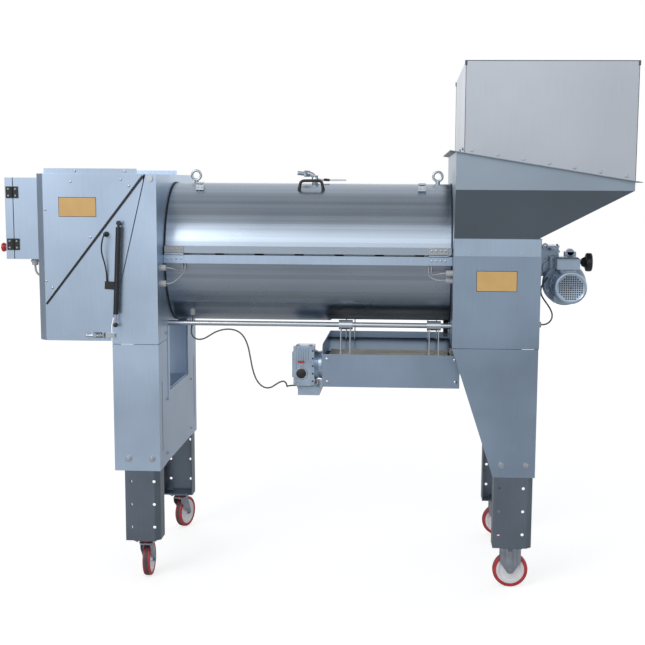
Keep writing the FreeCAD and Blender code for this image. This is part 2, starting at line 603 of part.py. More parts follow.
def layshaft():
    """Shaft under the feed trough, with the pinion of the cage and the driven sprocket."""
    shaft = rod("x", ("gear_x - 1", 0, LAYSHAFT_Z), "layshaft_r", "chain_end - gear_x + 4")
    sprocket = rod("x", ("chain_x", 0, LAYSHAFT_Z), "large_sprocket_r", "chain_end - chain_x")
    # the phase of 0 leaves a tooth gap at the top, where the ring's lowest tooth stands in it
    pinion = gear_solid(SIZES["pinion_teeth"], 0, 0, number(LAYSHAFT_Z),
                        number("gear_x"), number("gear_end"), number("layshaft_r") - 1)
    node(fuse(shaft, sprocket, solid_feature(pinion)), "layshaft")


def belt_face(x, upper_z, lower_z, upper_r, lower_r):
    """Outline of a loop stretched round two circles, as a face across X."""
    lean = math.asin((lower_r - upper_r) / (upper_z - lower_z))
    cosine, sine = math.cos(lean), math.sin(lean)
    upper = [vector(x, side * upper_r * cosine, upper_z + upper_r * sine) for side in (-1, 1)]
    lower = [vector(x, side * lower_r * cosine, lower_z + lower_r * sine) for side in (-1, 1)]
    top = Part.Arc(upper[1], vector(x, 0, upper_z + upper_r), upper[0])
    bottom = Part.Arc(lower[0], vector(x, 0, lower_z - lower_r), lower[1])
    left = Part.LineSegment(upper[0], lower[0])
    right = Part.LineSegment(lower[1], upper[1])
    return Part.Face(Part.Wire([edge.toShape() for edge in (top, left, bottom, right)]))


def drive():
    """Reducer, variable-speed motor, chain to the cage layshaft with its guard, and the bearings."""
    top_z, low_z = number("axis_z"), number(LAYSHAFT_Z)
    x, end = number("chain_x"), number("chain_end")
    small, large = number("small_sprocket_r"), number("large_sprocket_r")
    outer = belt_face(x, top_z, low_z, small + 8, large + 8)
    inner = belt_face(x, top_z, low_z, small + 0.5, large + 0.5)
    node(solid_feature(outer.cut(inner).extrude(vector(end - x, 0, 0))), "drive_chain")
    guard = cut(box(("housing_end", "guard_end"), ("-guard_half", "guard_half"), (985, 1470)),
                box(("housing_end", "guard_end - sheet"), ("-guard_half + sheet", "guard_half - sheet"),
                    (985 + 3, 1470 - 3)),
                rod("x", ("guard_end - 5", 0, "axis_z"), "shaft_r + 5", 6))
    node(guard, "chain_guard")
    case = box(("guard_end", 1078), (-80, 80), (1305, 1442))
    cap = rod("x", (1078, 0, "axis_z"), 46, 8)
    neck = rod("y", (1042, -96, 1345), 33, 16)
    bore = rod("x", ("guard_end - 1", 0, "axis_z"), "shaft_r + running", 90)
    reducer = cut(fuse(case, cap, neck), bore)
    disc = rod("y", (1101, -166, 1281), 92, 70)
    body = box((1036, 1150), (-166, -96), (1290, 1436))
    boss = rod("x", (1150, -130, 1374), 17, 14)
    gland = rod("y", (1022, -178, 1310), 8, 13)
    node(group(reducer, cut(fuse(disc, body, boss, gland), rod("x", (1130, -130, 1374), "8 + running", 40))),
         "drive_gearbox")
    stator = rod("y", (1101, -322, 1281), 63, 156)
    cowl = rod("y", (1101, -375, 1281), 68, 56)
    foot = box((1040, 1104), (-300, -200), (1212, 1240))
    terminal = box((1050, 1146), (-300, -200), (1352, 1404))
    saddle = box((1066, 1132), (-290, -210), (1330, 1353))
    node(fuse(stator, cowl, foot, terminal, saddle), "drive_motor")
    spindle = rod("x", (1140, -130, 1374), 8, 50)
    hub = rod("x", (1172, -130, 1374), 23, 20)
    grip = rod("x", (1190, -130, 1374), 40, 30)
    node(fuse(spindle, hub, grip), "speed_handwheel")
    blocks = []
    for low_x, length, centre_z, radius, wall in ((-724, 12, top_z, "shaft_r", 45),
                                                  (952, 13, top_z, "shaft_r", 40),
                                                  (646, 14, low_z, "layshaft_r", 30),
                                                  (953, 12, low_z, "layshaft_r", 30)):
        blocks.append(tube("x", (low_x, 0, centre_z), wall, f"{radius} + running", length))
    pedestal = cut(box((646, 660), (-30, 30), ("seam_z + sheet", low_z)),
                   rod("x", (645, 0, low_z), 20, 16))
    blocks[2] = fuse(blocks[2], pedestal)
    node(group(*blocks), "shaft_bearings")


# ---------------------------------------------------------------- crusher unit on its guide bars
def crusher():
    """Trough, chutes, hangers, two geared rollers and their gearmotor; the whole unit slides."""
    bars = [rod("x", ("portal_x", f"{side} * bar_y", "bar_z"), "bar_r", "housing_x - portal_x")
            for side in (-1, 1)]
    node(group(*bars), "guide_bars")
    half = "crusher_half"
    x = ("crusher_x", "crusher_end")
    front = box(x, (f"-{half}", f"-{half} + sheet"), ("crusher_low", "crusher_lip"))
    back = box(x, (f"{half} - sheet", half), ("crusher_low", "crusher_back"))
    floor = cut(box(x, (f"-{half}", half), ("crusher_low", "crusher_low + sheet")),
                box((149, 557), (-177, 177), ("crusher_low - 1", "crusher_low + sheet + 1")))
    skirt = cut(box((146, 560), (-180, 180), (818, "crusher_low")),
                box((149, 557), (-177, 177), (817, "crusher_low + 1")))
    cheek = [(f"-{half} + sheet", "crusher_low"), (f"{half} - sheet", "crusher_low"),
             (f"{half} - sheet", "crusher_back"), (f"-{half} + 25", "crusher_back"),
             (f"-{half} + sheet", "crusher_back - 22")]
    cheeks = []
    for low_x in ("crusher_x", "crusher_end - sheet"):
        holes = [rod("x", (f"{low_x} - 1", f"{side} * roller_y", "roller_z"), 20, "sheet + 2")
                 for side in (-1, 1)]
        cheeks.append(cut(prism("YZ", cheek, low_x, f"{low_x} + sheet"), *holes))
    inside = ("crusher_x + sheet", "crusher_end - sheet")
    chutes = []
    for side, top in ((-1, "crusher_lip - 6"), (1, "crusher_back - 30")):
        outline = [(f"{side} * ({half} - sheet)", top), (f"{side} * ({half} - sheet)", f"{top} - 4"),
                   (f"{side} * 118", "roller_z + 34"), (f"{side} * 118", "roller_z + 38")]
        chutes.append(prism("YZ", outline, *inside))
    node(group(fuse(front, back, floor, skirt, *cheeks), *chutes), "crusher_trough")
    hangers = []
    for side in (-1, 1):
        for collar_x in (127, 508):
            sleeve = rod("x", (collar_x, f"{side} * bar_y", "bar_z"), "collar_r", 60)
            y = side_span(side, "bar_y - 30", f"{half} - sheet")
            tabs = [box((tab_x, tab_x + 4), y, (940 if side < 0 else 986, "bar_z - 12"))
                    for tab_x in (collar_x + 8, collar_x + 48)]
            bore = rod("x", (collar_x - 1, f"{side} * bar_y", "bar_z"), "bar_r + running", 62)
            chute_room = prism("YZ", [(f"{side} * ({half} - sheet)", "crusher_lip - 5"), (f"{side} * 100", 935),
                                      (f"{side} * 100", 900), (f"{side} * ({half} - sheet)", 900)],
                               collar_x, collar_x + 60)
            hangers.append(cut(fuse(sleeve, *tabs), bore, chute_room))
    node(group(*hangers), "crusher_hangers")
    crusher_rollers()
    reducer_case = box((-82, 14), (-128, 4), (811, 995))
    neck = rod("x", (14, "-roller_y", "roller_z"), 66, 34)
    flange = rod("x", (47, "-roller_y", "roller_z"), 86, "crusher_x - 47")
    bore = rod("x", (-83, "-roller_y", "roller_z"), "roller_shaft_r + running", 150)
    stator = rod("y", (-35, 4, 872), 60, 190)
    cowl = rod("y", (-35, 194, 872), 64, 46)
    terminal = fuse(box((-62, 35), (24, 110), (766, 806)), rod("x", (-76, 40, 786), 9, 14))
    saddle = box((-60, 10), (34, 100), (805, 830))
    cutter = rod("x", (-83, "-roller_y", "roller_z"), "roller_shaft_r + running", 200)
    node(group(cut(fuse(reducer_case, neck, flange), bore),
               cut(fuse(stator, cowl, terminal, saddle), cutter)),
         "crusher_gearmotor")


def crusher_rollers():
    """Fluted rollers with their shafts and the gear pair that turns them against each other."""
    centre_z = number("roller_z")
    for name, side, phase, shaft_x in (("roller_front", -1, 0.0, -60), ("roller_rear", 1, 0.5, 40)):
        y = f"{side} * roller_y"
        shaft = rod("x", (shaft_x, y, "roller_z"), "roller_shaft_r", 672 - shaft_x)
        barrel = rod("x", (75, y, "roller_z"), "roller_r", 530)
        flutes = []
        for turn in range(8):
            flute = rod("x", (74, y, f"roller_z + roller_r + 4"), 9, 532)
            flutes.append(turned_copy(flute, 0, y, "roller_z", (1, 0, 0), 45 * turn + 22.5 * phase))
        gear = gear_solid(SIZES["roller_teeth"], phase, number(y), centre_z, 615, 633,
                          number("roller_shaft_r"))
        node(group(cut(fuse(shaft, barrel), *flutes), solid_feature(gear)), name)
    rings = []
    for low_x, side in ((45, 1), (651, -1), (651, 1)):
        rings.append(tube("x", (low_x, f"{side} * roller_y", "roller_z"), 34, "roller_shaft_r + running", 12))
    node(group(*rings), "roller_bearings")


# ---------------------------------------------------------------- tilting hood at the stalk end
def hood():
    """Sheet hood that tilts up on the column pivots, with its raised cover panels."""
    half, face, wall = "frame_half", "hood_face_x", "sheet"
    end_x, bevel, right = "hood_x", "hood_bevel", "column_neck_x - 11"
    outline = [(right, f"-{half}"), (face, f"-{half}"), (end_x, f"-{half} + {bevel}"),
               (end_x, f"{half} - {bevel}"), (face, half), (right, half), (right, f"{half} - {wall}"),
               (f"{face} + 1", f"{half} - {wall}"), (f"{end_x} + {wall}", f"{half} - {bevel} - 1"),
               (f"{end_x} + {wall}", f"-{half} + {bevel} + 1"), (f"{face} + 1", f"-{half} + {wall}"),
               (right, f"-{half} + {wall}")]
    roof = [(right, f"-{half}"), (face, f"-{half}"), (end_x, f"-{half} + {bevel}"),
            (end_x, f"{half} - {bevel}"), (face, half), (right, half)]
    column_side = [("portal_left - 4", "hood_low - 10"), ("portal_left - 4", "column_knee_z"),
                   ("column_neck_x - 4", "column_top"), ("column_neck_x - 4", "column_top + 5"),
                   ("portal_x", "column_top + 5"), ("portal_x", "hood_low - 10")]
    skin = cut(prism("XY", outline, "hood_low", "column_top"),
               prism("XZ", column_side, f"-{half} - 5", f"{half} + 5"))
    ears = []
    for side in (-1, 1):
        y = side_span(side, f"{half} - column_depth - 8", f"{half} - column_depth - 3")
        low_y = f"-({half} - column_depth - 3)" if side < 0 else f"{half} - column_depth - 8"
        arm = box(("pivot_x - 66", "pivot_x"), y, ("pivot_z - 14", "column_top - 1"))
        eye = rod("y", ("pivot_x", low_y, "pivot_z"), 16, 5)
        bore = rod("y", ("pivot_x", f"{low_y} - 1", "pivot_z"), "8 + running", 7)
        ears.append(cut(fuse(arm, eye), bore))
    upstands = [box(("hood_face_x + 4", -700), side_span(side, f"{half} - 12", f"{half} - 9"),
                    ("column_top", "column_top + 22")) for side in (-1, 1)]
    studs = []
    for side in (-1, 1):
        low_y = f"-({half} + 18)" if side < 0 else half
        studs.append(rod("y", ("strut_top_x", low_y, "strut_top_z"), 8, 18))
    roof = prism("XY", roof, "column_top - sheet", "column_top")
    node(group(fuse(skin, roof, *ears, *upstands), *studs), "hood_shell")
    cover = [(f"{face} + 2", "column_top - 3"), ("column_neck_x - 14", "column_top - 3"), (f"{face} + 2", 1200)]
    node(group(*[prism("XZ", cover, *side_span(side, half, f"{half} + 6")) for side in (-1, 1)]),
         "hood_covers")


def hinge_leaf(low, hand):
    """Leaf of a box hinge: hand 1 is the fixed one with two knuckles and the pin, -1 the door's."""
    x, y = "box_x - 1.5", "box_front - 6"
    near, far = (f"{x} + 5.5", f"{x} + 24") if hand > 0 else (f"{x} - 26", f"{x} - 5.5")
    plate = box((near, far), ("box_front - 5", "box_front"), (low, low + 48))
    spans = ((low, 16), (low + 32, 16)) if hand > 0 else ((low + 16.3, 15.4),)
    knuckles = []
    for start, length in spans:
        web = box((x, near) if hand > 0 else (far, x), ("box_front - 5", "box_front - 2"),
                  (start, start + length))
        knuckles.append(fuse(rod("z", (x, y, start), 4.5, length), web))
    if hand > 0:
        return fuse(plate, *knuckles, rod("z", (x, y, low), 2, 48))
    return cut(fuse(plate, *knuckles), rod("z", (x, y, low), "2 + running", 48))


def control_box():
    """Electrical box on the hood's end wall, with its hinged door and stop button."""
    y = ("box_front", "box_back")
    z = ("box_low", "box_high")
    case = cut(box(("box_x", "hood_x"), y, z),
               box(("box_x - 1", "hood_x - 2"), ("box_front + 2", "box_back - 2"),
                   ("box_low + 2", "box_high - 2")))
    gland = rod("z", (-1178, -300, "box_low - 26"), 13, 26)
    inner_leaves = [hinge_leaf(low, 1) for low in (1416, 1636)]
    node(group(case, gland, *inner_leaves), "control_box")
    lid = cut(box(("box_door_x", "box_x - 1"), y, z),
              box(("box_door_x + 2", "box_x"), ("box_front + 2", "box_back - 2"),
                  ("box_low + 2", "box_high - 2")))
    outer_leaves = [hinge_leaf(low, -1) for low in (1416, 1636)]
    socket = rod("x", ("box_door_x - 12", -235, 1422), 16, 12)
    hole = rod("x", ("box_door_x - 13", -235, 1422), "6 + running", 20)
    node(group(cut(fuse(lid, socket), hole), *outer_leaves), "control_box_door")
    head = rod("x", ("box_door_x - 52", -235, 1422), 20, 30)
    stem = rod("x", ("box_door_x - 24", -235, 1422), 6, 26)
    node(fuse(head, stem), "emergency_stop")


def strut_length():
    """Distance between the two ball studs of a gas strut with the hood shut."""
    return number("sqrt((strut_top_x - strut_foot_x)^2 + (strut_top_z - strut_foot_z)^2)")


def gas_struts():
    """Gas strut on each side: cylinder hung from the hood, rod standing on the column."""
    lean = math.degrees(math.atan2(number("strut_top_x - strut_foot_x"), number("strut_top_z - strut_foot_z")))
    length = strut_length()
    cylinders = []
    rods = []
    for side in (-1, 1):
        axis_y = f"{side} * (strut_y + 6)"
        foot = ("strut_foot_x", axis_y, "strut_foot_z")
        socket_y = "-(strut_y + 12)" if side < 0 else "strut_y"
        rods.append(turned_copy(fuse(rod("z", foot, 4, length - 60),
                                     rod("y", ("strut_foot_x", socket_y, "strut_foot_z"), 9, 12)),
                                "strut_foot_x", 0, "strut_foot_z", (0, 1, 0), lean))
        start = ("strut_foot_x", axis_y, f"strut_foot_z + {length} - 16 - strut_body")
        barrel = cut(rod("z", start, 11, "strut_body"), rod("z", start, "4 + running", "strut_body - 10"))
        crown = rod("z", ("strut_foot_x", axis_y, f"strut_foot_z + {length} - 18"), 5, 12)
        eye_y = "-(strut_y + 12)" if side < 0 else "strut_y - 5"
        eye = rod("y", ("strut_foot_x", eye_y, f"strut_foot_z + {length}"), 9, 17)
        cylinders.append(turned_copy(fuse(barrel, crown, eye), "strut_foot_x", 0, "strut_foot_z",
                                     (0, 1, 0), lean))
    node(group(*cylinders), "strut_cylinders")
    node(group(*rods), "strut_rods")


def hood_fittings():
    """Toggle latch at each lower corner of the hood, the switch that feels it shut, and its gland."""
    bases = []
    for name, side in (("front", -1), ("rear", 1)):
        bases.append(box((-890, -854), side_span(side, "frame_half", "frame_half + 6"), (1058, 1080)))
        handle = rod("x", (-922, f"{side} * (frame_half + 16)", 1069), 7, 40)
        arm = box((-890, -846), side_span(side, "frame_half + 10", "frame_half + 18"), (1062, 1076))
        post = rod("z", (-848, f"{side} * (frame_half + 12)", 1058), 5, 22)
        node(fuse(handle, arm, post), f"hood_latch_{name}")
    switch = box((-838, -796), ("-frame_half - 11", "-frame_half"), (1262, 1296))
    gland = rod("y", (-829, "-frame_half - 20", 1491), 10, 20)
    node(group(switch, gland, *bases), "hood_fittings")


# ---------------------------------------------------------------- cables
def cable(points, radius, label):
    """Tube along straight runs joined by tangent arcs as large as the runs allow."""
    places = [vector(*point) for point in points]
    edges = []
    radii = []
    start = places[0]
    for before, corner, after in zip(places, places[1:], places[2:]):
        into = (corner - before).normalize()
        away = (after - corner).normalize()
        turn = math.acos(max(-1.0, min(1.0, into.dot(away))))
        shorter = min((corner - before).Length, (after - corner).Length)
        reach = 0.45 * shorter
        radii.append(reach / math.tan(turn / 2))
        first = corner - into * reach
        last = corner + away * reach
        towards = (away - into).normalize()
        rise = radii[-1] / math.cos(turn / 2) - radii[-1]
        edges.append(Part.LineSegment(start, first).toShape())
        edges.append(Part.Arc(first, corner + towards * rise, last).toShape())
        start = last
    edges.append(Part.LineSegment(start, places[-1]).toShape())
    path = Part.Wire(edges)
    section = Part.Wire(Part.makeCircle(radius, places[0], places[1] - places[0]))
    shape = path.makePipeShell([section], True, True)
    share = shape.Volume / (math.pi * radius ** 2 * path.Length)
    print(f"{label}: length {path.Length:.0f} mm, smallest radius {min(radii):.0f} mm, "
          f"volume share {share:.3f}")
    return solid_feature(shape)


CRUSHER_CABLE = [(-520, -176, 1130), (-520, -176, 1111), (-521, -184, 1091), (-522, -202, 1073),
                 (-519, -223, 1056), (-510, -239, 1041), (-492, -246, 1030), (-468, -246, 1030),
                 (-444, -244, 1041), (-410, -242, 1064), (-368, -240, 1076), (-325, -238, 1074),
                 (-290, -236, 1052), (-268, -236, 1005), (-258, -236, 950), (-248, -232, 893),
                 (-232, -222, 845), (-205, -208, 815), (-176, -188, 810), (-150, -160, 826),
                 (-130, -120, 832), (-120, -80, 820), (-118, -44, 802), (-120, -16, 789), (-122, 5, 786),
                 (-118, 22, 786), (-108, 34, 786), (-93, 40, 786), (-76, 40, 786)]
MOTOR_CABLE = [(1022, -178, 1310), (1022, -192, 1310), (1018, -208, 1306), (1009, -224, 1297),
               (997, -242, 1285), (988, -264, 1269), (985, -290, 1252), (990, -318, 1236),
               (1002, -345, 1218), (1016, -367, 1198), (1025, -381, 1177), (1026, -385, 1160),
               (1020, -385, 1145), (1009, -385, 1134), (994, -385, 1128), (980, -385, 1128)]
HOOD_SWITCH_CABLE = [(-829, -470, 1491), (-829, -482, 1491), (-830, -494, 1486), (-832, -502, 1475),
                     (-835, -504, 1460), (-839, -500, 1440), (-840, -492, 1415), (-836, -480, 1388),
                     (-831, -470, 1360), (-829, -463, 1334), (-829, -458, 1314), (-829, -458, 1296)]
CONTROL_CABLE = [(-1178, -300, 1351), (-1178, -300, 1336), (-1174, -300, 1320), (-1164, -300, 1308),
                 (-1148, -300, 1302), (-1127, -300, 1302)]
HINGE_CABLES = [
    [(-590, -408, 1351), (-576, -408, 1351), (-563, -401, 1347), (-552, -387, 1341), (-544, -367, 1335),
     (-540, -346, 1332), (-538, -328, 1334), (-538, -316, 1342), (-538, -311, 1354), (-538, -311, 1365)],
    [(-590, -408, 1285), (-575, -408, 1285), (-561, -404, 1290), (-549, -393, 1299), (-539, -376, 1309),
     (-531, -355, 1319), (-527, -334, 1328), (-526, -318, 1338), (-526, -311, 1351), (-526, -311, 1365)],
    [(581, -408, 1339), (567, -408, 1339), (554, -401, 1336), (543, -387, 1332), (533, -367, 1329),
     (526, -347, 1328), (522, -329, 1332), (522, -316, 1341), (522, -311, 1353), (522, -311, 1365)],
    [(581, -385, 1308), (567, -385, 1308), (553, -382, 1308), (539, -373, 1310), (526, -359, 1314),
     (516, -342, 1320), (511, -326, 1329), (510, -315, 1340), (510, -311, 1353), (510, -311, 1365)],
]


def cables():
    """Cable glands and every cable of the machine."""
    glands = []
    for x, y, z in ((-618, -408, 1351), (-618, -408, 1285), (581, -408, 1339), (581, -385, 1308)):
        glands.append(rod("x", (x, y, z), 13, "portal_x + 646" if x < 0 else "housing_x - 581"))
    glands.append(rod("x", ("housing_end", -385, 1128), 12, 12))
    glands.append(cut(rod("z", (-520, -176, 1130), 11, 30), rod("x", (-540, 0, "axis_z"), "casing_r", 40)))
    node(group(*glands), "cable_glands")
    node(cable(CRUSHER_CABLE, 3.5, "crusher cable"), "crusher_cable")
    node(group(cable(HOOD_SWITCH_CABLE, 3, "hood switch cable"), cable(CONTROL_CABLE, 4.5, "control cable")),
         "hood_cables")
    node(group(cable(MOTOR_CABLE, 3.5, "motor cable"),
               *[cable(route, 3, "hinge cable") for route in HINGE_CABLES]), "frame_cables")


def fasteners():
    """Hood pivots, strut studs, the latch catches and the clamp bolts of the legs."""
    pieces = []
    for side in (-1, 1):
        shank_y = "-frame_half" if side < 0 else "frame_half - column_depth - 10"
        head_y = "-frame_half - 7" if side < 0 else "frame_half"
        pin = rod("y", ("pivot_x", shank_y, "pivot_z"), 8, "column_depth + 10")
        pieces.append(fuse(pin, rod("y", ("pivot_x", head_y, "pivot_z"), 13, 7)))
        stud_y = "-(strut_y - 0.5)" if side < 0 else "frame_half"
        pieces.append(rod("y", ("strut_foot_x", stud_y, "strut_foot_z"), 8, "strut_y - 0.5 - frame_half"))
        for x in (-753, -653, 824, 926):
            pieces.append(rod("y", (x, "-frame_half - 9" if side < 0 else "frame_half", 541), 10, 9))
        foot = box((-812, -800), side_span(side, "frame_half", "frame_half + 4"), (1060, 1078))
        hook = box((-838, -800), side_span(side, "frame_half + 2", "frame_half + 14"), (1060, 1078))
        pieces.append(fuse(foot, hook))
    node(group(*pieces), "frame_fasteners")


# ---------------------------------------------------------------- build, check and write
for section in (portal_frame, outer_legs, cross_panel, legs_and_casters, feed_housing, hopper, casing, door,
                top_fittings, cage, beater, layshaft, drive, crusher, hood, control_box, gas_struts,
                hood_fittings, cables, fasteners):
    section()
doc.recompute()

failed = [thing.Name for thing in doc.Objects if "Invalid" in thing.State or "Error" in thing.State]
for part in nodes:
    if part.Shape.isNull() or not part.Shape.isValid() or not part.Shape.Solids:
        failed.append(part.Label)
if failed:
    raise RuntimeError("these objects did not build: " + ", ".join(failed))

for part in nodes:
    part.Shape.exportStep(f"parts/{part.Label}.step")
print(len(nodes), "sub-parts written")
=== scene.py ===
import bmesh
import bpy
import json
import math
from mathutils import Matrix, Vector


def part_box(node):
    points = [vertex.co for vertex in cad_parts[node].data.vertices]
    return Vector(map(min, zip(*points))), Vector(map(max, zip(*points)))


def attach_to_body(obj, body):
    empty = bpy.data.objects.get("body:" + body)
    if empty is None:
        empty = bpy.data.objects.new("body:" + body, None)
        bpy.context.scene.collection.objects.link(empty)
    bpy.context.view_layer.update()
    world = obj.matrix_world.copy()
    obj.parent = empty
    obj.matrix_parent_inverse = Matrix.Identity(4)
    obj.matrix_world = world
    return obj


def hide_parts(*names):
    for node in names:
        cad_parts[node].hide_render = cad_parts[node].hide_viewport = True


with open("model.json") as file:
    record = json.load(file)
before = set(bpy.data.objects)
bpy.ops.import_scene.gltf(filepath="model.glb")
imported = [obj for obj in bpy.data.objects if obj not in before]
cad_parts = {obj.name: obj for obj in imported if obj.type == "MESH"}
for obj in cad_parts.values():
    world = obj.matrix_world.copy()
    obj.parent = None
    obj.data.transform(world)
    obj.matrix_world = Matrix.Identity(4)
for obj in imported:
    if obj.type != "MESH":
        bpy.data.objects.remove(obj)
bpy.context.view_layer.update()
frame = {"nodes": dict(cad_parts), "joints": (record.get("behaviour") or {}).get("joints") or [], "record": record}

X, Y, Z = Vector((1, 0, 0)), Vector((0, 1, 0)), Vector((0, 0, 1))
JOINTS = {joint["name"]: joint for joint in frame["joints"]}
DRUM_AXIS_Z = 1.4
WHEEL_RADIUS = 0.075
ROUND_OVER, SHADE_SHARP = math.radians(40), math.radians(32)   # least angles between faces
ROUGH_SWAY = 0.05   # how far roughness wanders either way


# ---- materials
def math_node(tree, operation, *values):
    """Math node fed with numbers or with the outputs of other nodes."""
    node = tree.nodes.new("ShaderNodeMath")
    node.operation = operation
    for socket, value in zip(node.inputs, values):
        if isinstance(value, (int, float)):
            socket.default_value = value
        else:
            tree.links.new(value, socket)
    return node.outputs["Value"]


def map_range(tree, value, low, high, start=0.3, end=0.7):
    """The span from start to end of a value, stretched to the span from low to high."""
    node = tree.nodes.new("ShaderNodeMapRange")
    for socket, number in (("From Min", start), ("From Max", end), ("To Min", low), ("To Max", high)):
        node.inputs[socket].default_value = number
    tree.links.new(value, node.inputs["Value"])
    return node.outputs["Result"]


def shader(name, colour, rough, metal, vary, bump, scale, grain=None, coat=0.0, shade_below=1.0, facet_reflections=None):
    """Principled material with cloudy colour and either fine pores or a brushed grain.

    grain stretches the noise along (x, y, z). The darkening of the faces that look down (under) is painted shade,
    as if all light came from above. facets gives the axis height and the strips per radian of a cylinder along X
    that was bent in many small steps; each strip is painted a step lighter or darker, a painted reflection of its
    facet.
    """
    material = bpy.data.materials.new(name)
    material.use_nodes = True
    tree = material.node_tree
    nodes, links = tree.nodes, tree.links
    bsdf = nodes["Principled BSDF"]
    bsdf.inputs["Metallic"].default_value = metal
    bsdf.inputs["Coat Weight"].default_value = coat
    bsdf.inputs["Coat Roughness"].default_value = 0.2

    def noise(amount, detail, vector):
        node = nodes.new("ShaderNodeTexNoise")
        node.inputs["Scale"].default_value = amount
        node.inputs["Detail"].default_value = detail
        links.new(vector, node.inputs["Vector"])
        return node.outputs["Fac"]

    def spread(*numbers):
        return map_range(tree, *numbers)

    def calc(*numbers):
        return math_node(tree, *numbers)

    place = nodes.new("ShaderNodeTexCoord").outputs["Object"]
    cloud = noise(scale, 6, place)
    shade = spread(cloud, 1 - vary, 1 + vary * 0.6)
    if bump and not grain:
        height = noise(700, 3, place)
    if grain:
        stretch = nodes.new("ShaderNodeMapping")
        stretch.inputs["Scale"].default_value = grain
        links.new(place, stretch.inputs["Vector"])
        height = noise(1.0, 4, stretch.outputs["Vector"])
        shade = calc("MULTIPLY", shade, spread(height, 1 - vary * 0.4, 1 + vary * 0.4, 0.25, 0.75))
    # painted reflection: each bent strip of the drum gets its own brightness, as if each flat facet mirrored a
    # different part of the room
    if facet_reflections:
        axis_height, strips = facet_reflections
        spot = nodes.new("ShaderNodeSeparateXYZ")
        links.new(place, spot.inputs["Vector"])
        turn = calc("ARCTAN2", spot.outputs["Y"], calc("SUBTRACT", spot.outputs["Z"], axis_height))
        strip = nodes.new("ShaderNodeTexWhiteNoise")
        strip.noise_dimensions = "1D"
        links.new(calc("FLOOR", calc("MULTIPLY", turn, strips)), strip.inputs["W"])
        shade = calc("MULTIPLY", shade, spread(strip.outputs["Value"], 0.87, 1.1, 0.0, 1.0))
    # painted shade: faces that look down get a darker colour, as if all light came from above
    if shade_below < 1.0:
        split = nodes.new("ShaderNodeSeparateXYZ")
        links.new(nodes.new("ShaderNodeNewGeometry").outputs["Normal"], split.inputs["Vector"])
        shade = calc("MULTIPLY", shade, spread(split.outputs["Z"], shade_below, 1.0, -0.7, -0.1))
    tint = nodes.new("ShaderNodeVectorMath")
    tint.operation = "SCALE"
    tint.inputs[0].default_value = colour
    links.new(shade, tint.inputs["Scale"])
    links.new(tint.outputs["Vector"], bsdf.inputs["Base Color"])
    links.new(spread(cloud, rough - ROUGH_SWAY, rough + ROUGH_SWAY), bsdf.inputs["Roughness"])
    if bump:
        relief = nodes.new("ShaderNodeBump")
        relief.inputs["Strength"].default_value = bump
        relief.inputs["Distance"].default_value = 0.0006
        links.new(height, relief.inputs["Height"])
        links.new(relief.outputs["Normal"], bsdf.inputs["Normal"])
    return material


# the under values below darken the faces that look down: painted shade
UPRIGHT, ALONG = (520, 520, 7), (6, 420, 420)   # brushed along Z and along X
sheet_steel = shader("sheet_steel", (0.465, 0.57, 0.715), 0.34, 1.0, 0.13, 0.06, 2.6, UPRIGHT, shade_below=0.55)
# painted shade: darker copy of the sheet steel for the housing, chain guard, right outer legs and trough, which
# the light reaches less than the hood
housing_steel_shaded = shader("housing_steel_shaded", (0.33, 0.42, 0.54), 0.34, 1.0, 0.13, 0.06, 2.6, UPRIGHT, shade_below=0.55)
# painted shade: darker copy of the sheet steel for the funnel, whose faces look down towards the dark floor, and
# darkened strongly below
funnel_steel_shaded = shader("funnel_steel_shaded", (0.35, 0.42, 0.5), 0.36, 1.0, 0.09, 0.06, 2.6, UPRIGHT, shade_below=0.17)
hopper_steel = shader("hopper_steel", (0.55, 0.59, 0.65), 0.36, 1.0, 0.09, 0.06, 2.2, UPRIGHT, shade_below=0.5)
drum_steel = shader("drum_steel", (0.44, 0.51, 0.6), 0.27, 1.0, 0.05, 0.04, 2.0, ALONG, shade_below=0.6,
                    facet_reflections=(DRUM_AXIS_Z, 15.2))
# painted shade: much darker copy of the sheet steel for the inner legs, which stand in shade beneath the machine
leg_steel_shaded = shader("leg_steel_shaded", (0.175, 0.21, 0.255), 0.4, 1.0, 0.12, 0.08, 4.0, UPRIGHT, shade_below=0.6)
bar_steel = shader("bar_steel", (0.56, 0.6, 0.65), 0.24, 1.0, 0.06, 0.04, 5.0, ALONG)
dark_steel = shader("dark_steel", (0.14, 0.15, 0.17), 0.48, 1.0, 0.15, 0.1, 14.0)
bolt_steel = shader("bolt_steel", (0.54, 0.57, 0.61), 0.28, 1.0, 0.1, 0.04, 60.0)
zinc = shader("zinc", (0.34, 0.37, 0.42), 0.36, 1.0, 0.14, 0.06, 22.0)
machine_paint = shader("machine_paint", (0.4, 0.5, 0.62), 0.3, 0.55, 0.12, 0.12, 18.0, coat=0.4)
black_plastic = shader("black_plastic", (0.018, 0.018, 0.02), 0.38, 0.0, 0.2, 0.14, 30.0)
grey_plastic = shader("grey_plastic", (0.46, 0.48, 0.49), 0.45, 0.0, 0.08, 0.1, 30.0)
red_plastic = shader("red_plastic", (0.55, 0.02, 0.02), 0.28, 0.0, 0.1, 0.02, 30.0, coat=0.4)
black_rubber = shader("black_rubber", (0.015, 0.015, 0.016), 0.6, 0.0, 0.2, 0.2, 40.0)
pale_rubber = shader("pale_rubber", (0.55, 0.52, 0.46), 0.6, 0.0, 0.1, 0.15, 20.0)
red_tyre = shader("red_tyre", (0.46, 0.035, 0.045), 0.4, 0.0, 0.16, 0.1, 35.0)
tread_grey = shader("tread_grey", (0.085, 0.06, 0.066), 0.6, 0.0, 0.25, 0.2, 40.0)
cream_hub = shader("cream_hub", (0.76, 0.76, 0.79), 0.45, 0.0, 0.1, 0.1, 30.0)
yellow_plate = shader("yellow_plate", (0.72, 0.45, 0.17), 0.4, 0.0, 0.06, 0.03, 18.0)
